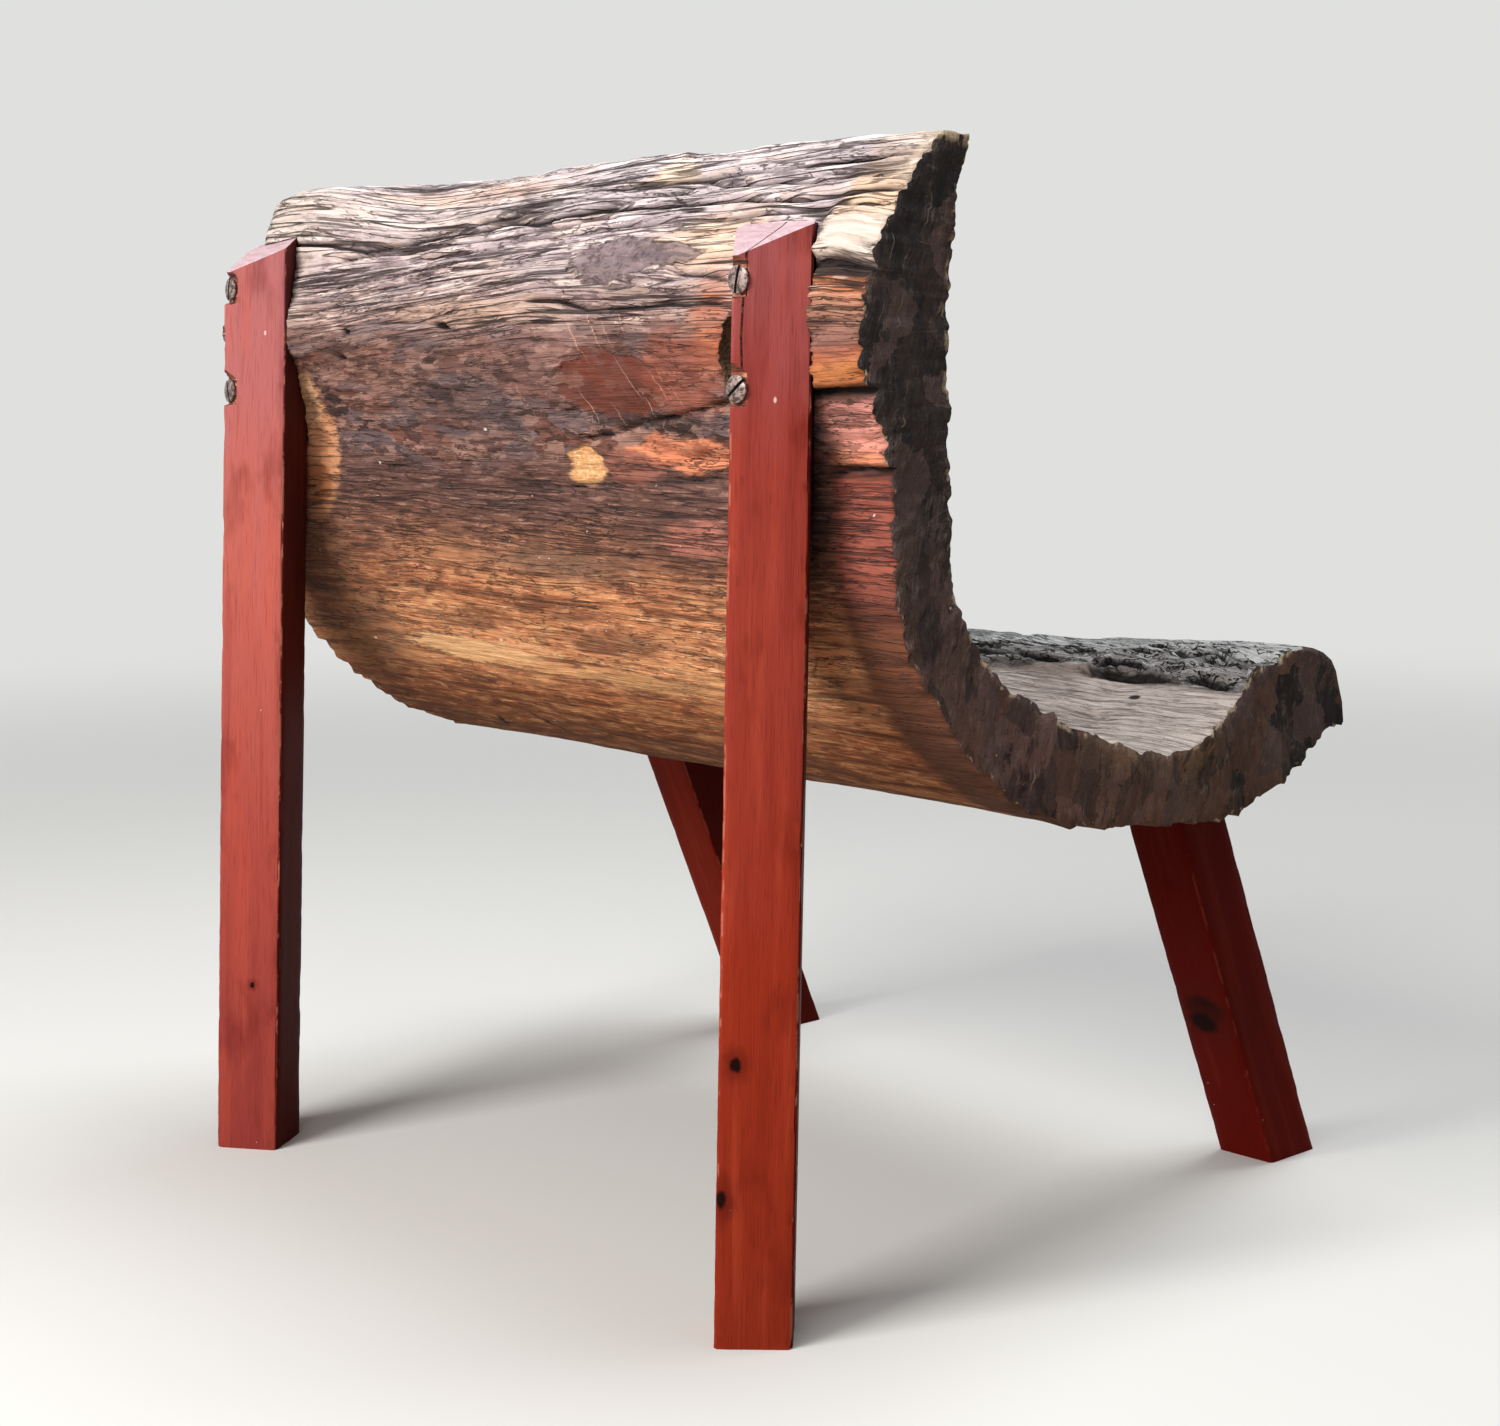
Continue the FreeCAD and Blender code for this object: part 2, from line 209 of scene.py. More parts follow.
def cut_block(name, columns, layers, rows):
    """A unit cube cut along x, y and z, with its two x faces marked as ends."""
    bm = bmesh.new()
    bmesh.ops.create_cube(bm, size=1)
    for axis, count in ((2, rows), (0, columns), (1, layers)):
        along = [e for e in bm.edges if abs(e.verts[0].co[axis] - e.verts[1].co[axis]) > 0.5]
        bmesh.ops.subdivide_edges(bm, edges=along, cuts=count - 1, use_grid_fill=True)
    bm.normal_update()
    for face in bm.faces:
        face.material_index = end_face if abs(face.normal.x) > 0.5 else skin_face
    return to_mesh(bm, name)


def places_of(mesh):
    """The mesh's points as an array."""
    flat = np.zeros(len(mesh.vertices) * 3)
    mesh.vertices.foreach_get("co", flat)
    return flat.reshape(-1, 3)


def keep_attribute(mesh, name, kind, field, values):
    """Stores one value for each point of a mesh, where a material can read it."""
    made = mesh.attributes.new(name, kind, "POINT")
    made.data.foreach_set(field, np.asarray(values, dtype=np.float32).ravel())


slab_mesh = cut_block("log_slab_wood", slab_columns, slab_layers, slab_rows)
block = places_of(slab_mesh)
print("block:", len(block), "points")

# %% [markdown]
# Each point of the block now has a place on the log: how far along it is, how far down the section
# and how deep in the wall. The outside is deeply furrowed under the top edge, chipped with an adze
# in the middle and worn smooth towards the seat. The marks below are the ones that the chair shows.

# %% Relief of the outside
top_fall = 14.0
left_forward = 4.5
left_corner = 8.0


def oval(x, s, centre, half):
    """How far inside an oval a place is: 1 at its middle, 0 at its rim and less outside."""
    return 1 - ((x - centre[0]) / half[0]) ** 2 - ((s - centre[1]) / half[1]) ** 2


furrow_lines = [
    (1.4, 5.0, [(-256, 13), (-205, 14), (-146, 15), (-101, 17), (-55, 18), (-3, 27), (52, 30)]),
    (1.1, 2.8, [(-256, 20), (-205, 21), (-150, 23), (-96, 24)]),
    (1.2, 4.0, [(-250, 26), (-184, 25), (-124, 20), (-61, 27), (0, 34)]),
    (1.6, 5.6, [(-258, 34), (-201, 35), (-147, 32), (-68, 30), (24, 34), (95, 39), (136, 47), (193, 48)]),
    (1.3, 4.6, [(-60, 36), (-18, 38), (10, 42), (49, 44), (88, 46), (150, 53)]),
    (1.2, 4.2, [(-254, 42), (-190, 42), (-120, 40), (-40, 42), (30, 49), (80, 54)]),
    (1.0, 2.6, [(20, 27), (70, 33), (120, 39), (170, 43)]),
    (1.3, 4.2, [(13, 60), (49, 63), (85, 69), (128, 77), (173, 94)]),
    (1.0, 2.6, [(-20, 55), (40, 57), (90, 62), (150, 74)]),
    (1.3, 4.4, [(-165, 76), (-129, 74), (-80, 81)]),
    (1.4, 5.0, [(-170, 91), (-151, 90), (-69, 92), (-44, 85), (-18, 85)]),
    (1.1, 2.8, [(-160, 84), (-120, 83), (-86, 87)]),
    (1.2, 3.0, [(30, 103), (57, 98), (118, 99)]),
    (1.0, 2.4, [(-60, 100), (-10, 98), (40, 92), (96, 88), (150, 92)]),
    (1.0, 2.4, [(-249, 48), (-215, 49)]),
    (2.0, 4.6, [(-262, 73), (-213, 74)]),
    (1.2, 3.8, [(-170, 137), (-114, 147), (-75, 156), (-39, 159)]),
    (1.2, 3.8, [(-170, 174), (-107, 179), (-31, 183), (20, 184)]),
    (1.1, 2.6, [(-152, 158), (-119, 169), (-86, 174)]),
    (1.0, 2.4, [(60, 184), (78, 185), (144, 189)]),
    (1.0, 2.6, [(7, 166), (52, 172), (150, 181)]),
    (2.4, 6.0, [(-262, 131), (-217, 133)]),
    (1.6, 4.2, [(-262, 167), (-216, 170)]),
]


def along_lines(x, s, lines):
    """Furrows along lines of places (x, s), each of a width and a depth, with shaky edges."""
    total = np.zeros(x.shape)
    for wide, deep, places in lines:
        at, down = zip(*places)
        shaky = 1.3 * waves(x / 24, down[0] + s / 40, 16) + 0.4 * waves(x / 12, down[0] + s / 30, 17)
        away = s - np.interp(x, at, down) - shaky
        thick = wide * (1 + 0.35 * waves(x / 30, down[0] + s / 60, 18))
        total -= deep * band(x, at[0], at[-1], 6) * np.exp(-(away / thick) ** 2)
    return total


upper_cheek = [(0, 12, 25, 45, 62, 78), (6, 19, 24, 18, 7, 0)]
lower_cheek = [(58, 75, 95, 110, 119), (0, 4, 5.5, 6, 0)]
beside_swell = [(20, 50, 60, 71, 76, 86, 104, 118, 126, 131), (0, 4, 6, 8, 6, 4, 2, 3, 4, 0)]
log_holes = [(47, 99), (135, 103), (142, 117)]


def outside_relief(x, s):
    """Height of the outside over the smooth log, what of it is cracks, and the line of the fibres."""
    broad = 1.3 * waves(x / 150 + 7, s / 70, 1) + 0.8 * waves(x / 55, s / 26, 2)
    climb = 0.11 * np.maximum(x + 23, 0) * ease(44, 74, s) * (1 - ease(100, 160, s))
    climb += 0.05 * np.maximum(x + 90, 0) * (1 - ease(44, 74, s))
    grain = s - climb + 2.0 * waves(x / 130, s / 45, 3) + 0.7 * waves(x / 34, s / 14, 4)
    weathered = band(s, 6, 104, 8) * (0.80 + 0.20 * waves(x / 80, s / 30, 5))
    hewn = band(s, 106, 214, 12)
    worn = ease(205, 245, s)
    deep = -1.5 * weathered * furrows(x / 150, grain / 5.2, 11, 6)
    deep += -0.8 * weathered * furrows(x / 60 + 3, grain / 2.8, 12, 5)
    deep += -0.6 * hewn * furrows(x / 30, grain / 4.4, 13, 6)
    deep += -0.3 * worn * furrows(x / 90, grain / 5.0, 14, 8)
    split = 1.6 * waves(x / 9, s / 6, 6)
    chipped = 1.5 * hewn * chips(x / 17 + split, grain / 4.4 + 0.4 * waves(x / 6, s / 4, 19), 21)
    chipped += 1.1 * band(s, 96, 224, 14) * chips(x / 7 + 0.5 * split, grain / 2.4, 26)
    fibres = 0.40 * waves(x / 40, grain / 1.9, 31) + 0.25 * waves(x / 16, grain / 1.5, 32)

    scab = oval(x + 0.25 * (s - 64), s, (-92, 64), (47, 15)) + 0.22 * waves(x / 9, s / 6, 10)
    scabbed = ease(0.0, 0.16, scab)
    red = ease(-0.1, 0.35, oval(x, s, (-84, 130), (40, 19)) + 0.25 * waves(x / 16, s / 10, 7))
    facet = band(x, 172, 222, 5) * band(s, 118, 200, 6)
    straw = band(x, -266, -222, 4) * band(s, 44, 71, 3)
    smooth = np.maximum(np.maximum(scabbed, red), np.maximum(facet, straw))
    relief = broad + fibres + 1.4 * weathered + (deep + chipped) * (1 - 0.85 * smooth)
    relief += scabbed * (2.2 + 1.2 * np.sqrt(np.clip(scab, 0, 1)) + 0.9 * waves(x / 4.5, s / 3.0, 8))
    relief += -1.4 * red + 1.2 * straw
    relief += facet * (-2.0 + 2.4 * chips(x / 14, s / 9, 41))
    cheek = np.interp(s, *upper_cheek) * ease(96, 186, x) + np.interp(s, *lower_cheek) * ease(150, 188, x)
    relief += cheek * (1 - ease(216, 246, x)) - 1.5 * band(x, 238, 262, 6) * band(s, 55, 112, 10)

    wedge = band(x, -160, -84, 5) * band(s + 0.12 * (x + 90), 158, 176, 3)
    chip = ease(0.0, 0.3, oval(x, s, (-48, 172), (14, 11)) + 0.2 * waves(x / 6, s / 5, 9))
    relief += -2.2 * wedge - 2.8 * chip
    beside = band(x, -266, -220, 4)
    relief += ease(-260, -240, x) * (1 - ease(-226, -214, x)) * np.interp(s, *beside_swell)
    relief += beside * band(s, 137, 164, 4) * 1.0 * waves(x / 30, grain / 2.6, 33)
    relief += beside * band(s, 79, 112, 4) * 2.4 * chips(x / 9, s / 5, 45)
    relief += beside * 2.0 * (ease(71, 76, s) * -1 + ease(108, 120, s))
    cracks = along_lines(x, s, furrow_lines) * (1 - scabbed)
    for hole in log_holes:
        cracks += -4.0 * ease(0.0, 0.6, oval(x, s, hole, (6, 3)))
    relief += cracks
    return relief, (deep + chipped) * (1 - 0.85 * smooth) + cracks, grain


print(len(furrow_lines), "furrows and", len(log_holes), "holes in the back")

# %% [markdown]
# The inside was the rotten heart of the log. It is grey and fibrous, with a torn, cracked band under
# the lip. The two sawn ends are ragged: the outline is chipped, and saw marks run across the wall.

# %% Relief of the inside and the ends
torn_lines = [(450, 1.7, 5.5), (456, 1.8, 6.5), (463, 1.7, 7.0), (470, 1.8, 6.5), (478, 1.7, 5.5)]


def inside_relief(x, s):
    """Height of the inside over the smooth log, what of it is cracks, and the line of the fibres."""
    broad = 1.6 * waves(x / 130, s / 60, 51) + 0.8 * waves(x / 45, s / 22, 52)
    grain = s + 3 * waves(x / 90, s / 30, 53) + 1.5 * waves(x / 26, s / 12, 54)
    fibres = 0.4 * waves(x / 38, grain / 3.0, 55) + 0.25 * waves(x / 16, grain / 1.8, 56)
    deep = -1.2 * furrows(x / 120, grain / 9, 57, 8)
    ragged = 4.0 * waves(x / 34, s / 60, 58) + 2.2 * waves(x / 11, s / 40, 59)
    ragged = ragged + 3.0 * chips(x / 17, s / 40, 62)
    shelf = ease(446, 453, s + ragged) * (1 - ease(486, 502, s))
    heaved = shelf * (3.4 + 1.2 * waves(x / 26, s / 9, 60) + 4.6 * chips(x / 16, s / 7, 61))
    torn = np.zeros(x.shape)
    for number, (middle, wide, depth) in enumerate(torn_lines):
        broken = ease(-0.6, -0.2, waves(x / 36 + 5 * number, s / 90, 64))
        broken = broken * ease(-258, -240, x) * (1 - ease(240, 258, x))
        torn -= depth * broken * np.exp(-((s + (0.8 + 0.3 * number) * ragged - middle) / wide) ** 2)
    return broad + fibres + deep + heaved + torn, deep + torn, grain


def end_tear(s, deep, seed):
    """How far a sawn end is torn back, over its section."""
    comb = ease(400, 440, s)
    marks = 0.8 * waves(s / 3.2, deep * 2.0, seed)
    marks = marks + (0.5 + 1.4 * comb) * waves(s / 4.6, deep * 1.1, seed + 1)
    lumps = 2.2 * waves(s / 22, deep * 3, seed + 2) + 1.2 * chips(s / 12, deep * 4, seed + 3)
    return np.clip(marks + lumps, -4, 4)


print(len(torn_lines), "cracks under the lip")

# %% [markdown]
# Bending is a sum on whole arrays: each point goes to its place on the section, then out along the
# normal by its relief. A curve modifier could bend the block too, but it would not know the depth in
# the wall, which decides how much of the outside and of the inside a point takes.

# %% Bend the block into the log
column_crowding = (1.14, 0.14)
row_crowding = (0.60, 0.40)
nose_round = 13.0
nose_aim = np.array([-44.0, 39.0]) / math.hypot(44, 39)
lip_height = 294.0
lip_ease = 2.5
lip_sag = 15.0
lip_left_drop = 18.0
end_reach = 26.0
top_height = 544.0
left_lean = math.tan(math.radians(2.8))


def lip_drop(x):
    """How far the lip is scooped down along the log."""
    share = x / slab_half
    return lip_sag * (1 - share ** 2) + lip_left_drop * (share + share ** 2) / 2


def on_line(line, share):
    """Places and normals at shares of a section line."""
    at, points, normals, _ = line
    place = np.stack([np.interp(share, at, points[:, k]) for k in (0, 1)], axis=1)
    normal = np.stack([np.interp(share, at, normals[:, k]) for k in (0, 1)], axis=1)
    return place, normal


def bend_log(block):
    """The log's points, their places in the grain (x, s, depth), their cracks and their fibres."""
    side = 2 * block[:, 0]
    deep = 1 - (block[:, 1] + 0.5)
    down = 0.5 - block[:, 2]
    x = slab_half * side * (column_crowding[0] - column_crowding[1] * side ** 2)
    share = down * (row_crowding[0] + row_crowding[1] * down)
    s = share * outside[3]
    to_end = slab_half - np.abs(x)
    near_end = np.clip(1 - to_end / end_reach, 0, 1) ** 2

    out_place, out_normal = on_line(outside, share)
    in_place, in_normal = on_line(inside, share)
    out_relief, out_cracks, out_fibre = outside_relief(x, s)
    in_relief, in_cracks, in_fibre = inside_relief(x, share * inside[3])
    chipped = near_end * (1.6 * waves(s / 9, side, 71) + 1.3 * waves(s / 3.6, side, 72) - 0.8)
    comb = near_end * ease(400, 440, s) * 2.4 * np.abs(waves(s / 4.6, side, 74))
    rim = np.clip(1 - s / 5, 0, 1) ** 2
    left = (x + slab_half) / (2 * slab_half)
    out_relief += chipped - comb - 1.8 * rim + 1.8 * ease(-140, 20, x) * band(s, 14, 74, 9)
    in_relief += near_end * (1.5 * waves(s / 8, side, 73) - 0.6) - 1.4 * rim
    in_relief -= (1.8 + 1.6 * left) * (1 - ease(44, 78, s))
    skin = out_place + out_normal * out_relief[:, None]
    heart = in_place - in_normal * in_relief[:, None]
    place = skin + (heart - skin) * deep[:, None]

    bulge = nose_round * 4 * deep * (1 - deep) * ease(0.93, 1.0, share)
    place += nose_aim * bulge[:, None]
    edge = np.exp(-s / 4)
    place[:, 1] += edge * (1.6 + 1.3 * waves(x / 40, deep * 3, 75) + 0.7 * waves(x / 9, deep * 6, 76))
    lumps = 2.2 * waves(x / 26, deep * 3, 77) + 1.2 * waves(x / 11, deep * 5, 78)
    over = place[:, 1] - (lip_height + 1.5 - lip_drop(x) + lumps)
    place[:, 1] -= lip_ease * np.log1p(np.exp(over / lip_ease)) * ease(0.84, 0.90, share)
    place[:, 1] -= top_fall * left * ease(455, 512, place[:, 1])
    place[:, 1] -= left_corner * ease(200, 262, x) * ease(500, 536, place[:, 1])
    place[:, 0] -= left_forward * left
    tear = np.where(side < 0, end_tear(s, deep, 81), end_tear(s, deep, 91))
    x = x - np.sign(side) * near_end * (1.2 + 0.8 * tear)
    x = x - left ** 2 * left_lean * (top_height - place[:, 1])

    cracks = out_cracks * (1 - deep) + in_cracks * deep
    fibre = out_fibre * (1 - deep) + in_fibre * deep
    return np.column_stack([x, place]), np.column_stack([x, s, deep]), cracks, fibre


log_points, log_grain, log_cracks, log_fibre = bend_log(block)
slab_mesh.vertices.foreach_set("co", (log_points * mm).ravel())
keep_attribute(slab_mesh, "grain", "FLOAT_VECTOR", "vector", log_grain)
keep_attribute(slab_mesh, "cracks", "FLOAT", "value", log_cracks)
keep_attribute(slab_mesh, "fibre", "FLOAT", "value", log_fibre)
slab_mesh.update()
print("log slab:", len(slab_mesh.polygons), "faces, cracks down to", round(log_cracks.min(), 1), "mm")

# %% [markdown]
# A dressed piece rides on the body of the frame that it belongs to, and stands in the picture for the
# plain solid. The same few calls do this for every piece, so they are one function.

# %% Put the log in the scene
def add_piece(name, mesh, slot, *nodes):
    """A piece of the chair that rides on the frame and stands for its nodes."""
    piece = put_in(name, mesh)
    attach(piece, "root")
    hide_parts(*nodes)
    return piece


log_slab = add_piece("log_slab_wood", slab_mesh, "weathered_log", "log_slab")
print("added", log_slab.name)

# %% [markdown]
# The posts and legs are square bars of stained hardwood. Their long edges were eased with a plane and
# have since been knocked about. A bar starts as a cube with bevelled edges, cut into short lengths, so
# that its edges can be dented. It is shaped lying in its own frame, along z, in millimetres.

# %% Square bars
bar_side = 36.0
bar_arris = 1.5
bar_sharp = math.radians(38)
bar_strips = 8
bar_step = 4.0
bar_end = 1
bar_cut = 2


def square_bar(low, high, side=bar_side):
    """A square bar along z with eased long edges, cut into strips and short lengths."""
    bm = bmesh.new()
    bmesh.ops.create_cube(bm, size=1)
    bmesh.ops.scale(bm, vec=(side, side, high - low), verts=bm.verts)
    bmesh.ops.translate(bm, vec=(0, 0, (low + high) / 2), verts=bm.verts)
    upright = [e for e in bm.edges if abs(e.verts[0].co.z - e.verts[1].co.z) > 1]
    bmesh.ops.bevel(bm, geom=upright, offset=bar_arris, offset_type="OFFSET", segments=3,
                    profile=0.5, affect="EDGES", material=-1)
    level = [e for e in bm.edges if side / 2 < e.calc_length() < side]
    bmesh.ops.subdivide_edges(bm, edges=level, cuts=bar_strips - 1, use_grid_fill=True)
    upright = [e for e in bm.edges if abs(e.verts[0].co.z - e.verts[1].co.z) > 1]
    bmesh.ops.subdivide_edges(bm, edges=upright, cuts=round((high - low) / bar_step), use_grid_fill=True)
    return bm


def saw_off(bm, place, normal):
    """Cuts off what lies beyond a plane and closes the cut with an end face."""
    everything = bm.verts[:] + bm.edges[:] + bm.faces[:]
    bmesh.ops.bisect_plane(bm, geom=everything, plane_co=place, plane_no=normal, clear_outer=True)
    rim = [e for e in bm.edges if e.is_boundary]
    made = bmesh.ops.contextual_create(bm, geom=rim)
    for face in made["faces"]:
        face.material_index = bar_end


def knock_about(mesh, seed, bites=(), knocks=1.0):
    """Wears a bar: its faces wave a little, and its long edges are dented here and there.
    Bites are larger dents, each with the edge that it is on, its height, half its length and its depth."""
    points = places_of(mesh)
    normals = np.zeros(len(mesh.vertices) * 3)
    mesh.vertex_normals.foreach_get("vector", normals)
    normals = normals.reshape(-1, 3)
    turned = np.abs(points[:, :2] @ np.array([[1, 1], [1, -1]]) / math.sqrt(2))
    arris = ease(bar_side / 2 - 2.2, bar_side / 2 - 0.2, turned.min(axis=1))
    corner = np.round(np.arctan2(points[:, 1], points[:, 0]) / (math.pi / 2)) * 10
    dents = np.maximum(waves(points[:, 2] / 13, corner, seed) - 0.35, 0) * 2.2
    dents += np.maximum(waves(points[:, 2] / 5, corner, seed + 1) - 0.45, 0) * 1.6
    dents *= knocks
    for edge, height, half, depth in bites:
        reach = bar_side / math.sqrt(2)
        near = ease(reach - 6, reach - 1, points[:, :2] @ np.array(edge))
        dents += near * depth * np.clip(1 - ((points[:, 2] - height) / half) ** 2, 0, 1)
    faces = 0.25 * waves(points[:, 2] / 60, corner + points[:, 0] / 20, seed + 2)
    moved = points - normals * (arris * (0.25 + dents) + (1 - arris) * faces)[:, None]
    mesh.vertices.foreach_set("co", moved.ravel())
    keep_attribute(mesh, "grain", "FLOAT_VECTOR", "vector", points)
    keep_attribute(mesh, "arris", "FLOAT", "value", arris)
    mesh.update()


# %% [markdown]
# Notches and splits are cut out of a finished bar with the Boolean modifier, as a chisel would take
# them. The result is read back as a plain mesh, so that no modifier stays live.

# %% Cutting one shape out of another
stored = {"grain": "vector", "cracks": "value", "fibre": "value", "arris": "value"}


def carry_over(made, mesh):
    """Gives each point of a cut mesh the stored values of the nearest point before the cut."""
    before, after = places_of(mesh), places_of(made)
    tree = KDTree(len(before))
    for number, point in enumerate(before):
        tree.insert(point, number)
    tree.balance()
    nearest = np.array([tree.find(point)[1] for point in after])
    for name, field in stored.items():
        if name in mesh.attributes:
            parts = 3 if field == "vector" else 1
            values = np.zeros(len(before) * parts, dtype=np.float32)
            mesh.attributes[name].data.foreach_get(field, values)
            moved = values.reshape(-1, parts)[nearest].ravel()
            made.attributes[name].data.foreach_set(field, moved)


def cut_away(mesh, cutters):
    """The mesh with the room of each cutter taken out of it."""
    whole = put_in("whole", mesh)
    tools = [put_in("tool", cutter) for cutter in cutters]
    for tool in tools:
        cut = whole.modifiers.new("cut", "BOOLEAN")
        cut.operation = "DIFFERENCE"
        cut.solver = "MANIFOLD"
        cut.object = tool
    seen = whole.evaluated_get(bpy.context.evaluated_depsgraph_get())
    made = bpy.data.meshes.new_from_object(seen)
    made.name = mesh.name
    carry_over(made, mesh)
    for thing in [whole] + tools:
        bpy.data.objects.remove(thing)
    return made


def mark_cut(bm):
    """Marks every face as freshly cut wood."""
    for face in bm.faces:
        face.material_index = bar_cut


def rough_box(low, high, cuts, jitter, seed):
    """A box between two corners, with its faces cut up and shaken, as a chisel leaves wood."""
    bm = bmesh.new()
    bmesh.ops.create_cube(bm, size=1)
    size = Vector(high) - Vector(low)
    bmesh.ops.scale(bm, vec=size, verts=bm.verts)
    bmesh.ops.translate(bm, vec=(Vector(low) + Vector(high)) / 2, verts=bm.verts)
    bmesh.ops.subdivide_edges(bm, edges=bm.edges[:], cuts=cuts, use_grid_fill=True)
    mark_cut(bm)
    for i, vert in enumerate(bm.verts):
        shake = [float(draw(seed + k, np.float64(i), np.float64(k))) - 0.5 for k in (0, 1, 2)]
        vert.co += Vector(shake) * jitter
    return bm


# %% [markdown]
# A back post stands on one corner of its section, so that an edge points straight back. It leans
# forward a little, and its top is sawn off at a slope. Two notches in the back edge take the screws.

# %% Back posts
post_length = 503.0
post_lean = math.tan(math.radians(2.48))
post_inward = math.tan(math.radians(0.57))
post_out = 209.5
top_slope = math.radians(31)
post_levels = {"right": 504.5, "left": 511.0}
notch_seat = bar_side / math.sqrt(2) - 5.5
notch_reach = 14
notch_half = 7.3
notch_rise = 11.0
notch_fall = 3.5
screw_levels = {"right": (478.4, 431.0), "left": (480.0, 425.0)}
post_turns = {"right": 0.0, "left": math.radians(-9.8)}
sides = {"right": -1, "left": 1}
split_room = [(-4.5, -30, 300), (-3.7, 30, 520)]
split_top = post_length + 14
split_run = 190
post_bites = {
    "right": [((-1, 0), 396, 9, 2.2), ((-1, 0), 416, 8, 2.8), ((-1, 0), 436, 9, 2.0),
              ((-1, 0), 458, 9, 2.8), ((-1, 0), 478, 8, 2.4), ((-1, 0), 492, 6, 2.2)],
    "left": [((0, 1), 453, 6, 2.2), ((0, 1), 441, 5, 1.6), ((0, 1), 404, 6, 2.0),
             ((1, 0), 380, 7, 2.2), ((0, 1), 350, 6, 1.8), ((0, 1), 288, 8, 1.6)],
}


def post_place(hand):
    """Where a post stands, as a matrix from its own frame to the chair's, in millimetres."""
    side = sides[hand]
    axis = Vector((-side * post_inward, -post_lean, 1))
    tilt = Vector((0, 0, 1)).rotation_difference(axis).to_matrix().to_4x4()
    foot = Matrix.Translation((side * post_out, post_line, 0))
    return foot @ tilt @ Matrix.Rotation(post_turns[hand], 4, "Z")


def post_blank(hand, extra=0.0):
    """A post before it is notched, larger all round by a clearance."""
    bm = square_bar(-bar_side, post_length + bar_side, bar_side + 2 * extra)
    bmesh.ops.rotate(bm, matrix=Matrix.Rotation(math.pi / 4, 3, "Z"), verts=bm.verts)
    slope = Vector((0, math.sin(top_slope), math.cos(top_slope)))
    saw_off(bm, Vector((0, 0, post_length)) + slope * extra, slope)
    saw_off(bm, Vector((0, 0, post_levels[hand] + extra)), Vector((0, 0, 1)))
    down = post_place(hand).to_3x3().transposed() @ Vector((0, 0, -1))
    saw_off(bm, Vector((0, 0, 0)), down)
    return bm


def head_notch(level, seed):
    """The notch for one screw head: steep above the head and nearly level below it."""
    low = (-notch_reach, notch_seat, level - notch_half)
    high = (notch_reach, notch_seat + notch_reach, level + notch_half)
    bm = rough_box(low, high, 6, 0.9, seed)
    for vert in bm.verts:
        out = (vert.co.y - notch_seat) / notch_reach
        up = (vert.co.z - level) / notch_half
        vert.co.z += out * (notch_rise * max(up, 0) + notch_fall * min(up, 0))
    return to_mesh(bm, "head_notch")


def split_blade():
    """The drying split in the right post: it runs from the top down past both screws."""
    bm = rough_box(*split_room, 9, 0.0, 0)
    for vert in bm.verts:
        drop = np.clip((split_top - vert.co.z) / split_run, 0, 1)
        front = 24 - 52 * (1 - drop) ** 5
        vert.co.y = max(vert.co.y, front) if vert.co.y < 0 else vert.co.y
        vert.co.x = -4.0 + (vert.co.x + 4.1) * (1.3 - 1.1 * drop) + 0.9 * math.sin(vert.co.z / 17)
    return to_mesh(bm, "split_blade")


def back_post(hand, seed):
    """A worn, notched post in its place on the chair."""
    mesh = to_mesh(post_blank(hand), "back_post_" + hand + "_wood")
    knock_about(mesh, seed, post_bites[hand])
    cutters = [head_notch(level, seed + k) for k, level in enumerate(screw_levels[hand])]
    if hand == "right":
        cutters.append(split_blade())
    mesh = cut_away(mesh, cutters)
    mesh.transform(to_metres @ post_place(hand))
    mesh.set_sharp_from_angle(angle=bar_sharp)
    return mesh


posts = {}
for number, hand in enumerate(sides):
    name = "back_post_" + hand
    posts[hand] = add_piece(name + "_wood", back_post(hand, 100 + 10 * number), "stained_bar", name)
    print(name, len(posts[hand].data.polygons), "faces")

# %% [markdown]
# The front legs are the same bars, raked forward. Each goes up into the underside of the seat.

# %% Front legs
leg_out = 199.0
leg_foot = post_line - 400.0
leg_rake = math.radians(23.2)
leg_rise = 250.0
leg_knocks = 0.35


def front_leg(hand, seed):
    """A worn leg in its place, from the floor into the underside of the seat."""
    place = Matrix.Translation((sides[hand] * leg_out, leg_foot, 0)) @ Matrix.Rotation(-leg_rake, 4, "X")
    bm = square_bar(-bar_side, leg_rise)
    saw_off(bm, Vector((0, 0, 0)), place.to_3x3().transposed() @ Vector((0, 0, -1)))
    bmesh.ops.rotate(bm, matrix=Matrix.Rotation(math.pi / 4, 3, "Z"), verts=bm.verts)
    mesh = to_mesh(bm, "front_leg_" + hand + "_wood")
    knock_about(mesh, seed, knocks=leg_knocks)
    mesh.transform(to_metres @ place @ Matrix.Rotation(-math.pi / 4, 4, "Z"))
    mesh.set_sharp_from_angle(angle=bar_sharp)
    return mesh


legs = {}
for number, hand in enumerate(sides):
    name = "front_leg_" + hand
    legs[hand] = add_piece(name + "_wood", front_leg(hand, 130 + 10 * number), "stained_bar", name)
    print(name, len(legs[hand].data.polygons), "faces")

# %% [markdown]
# Four slotted wood screws hold the posts. A screw is round, so a few points spun about its axis give
# the whole of it. The slot is cut across the head afterwards, and its edges are a little worn.

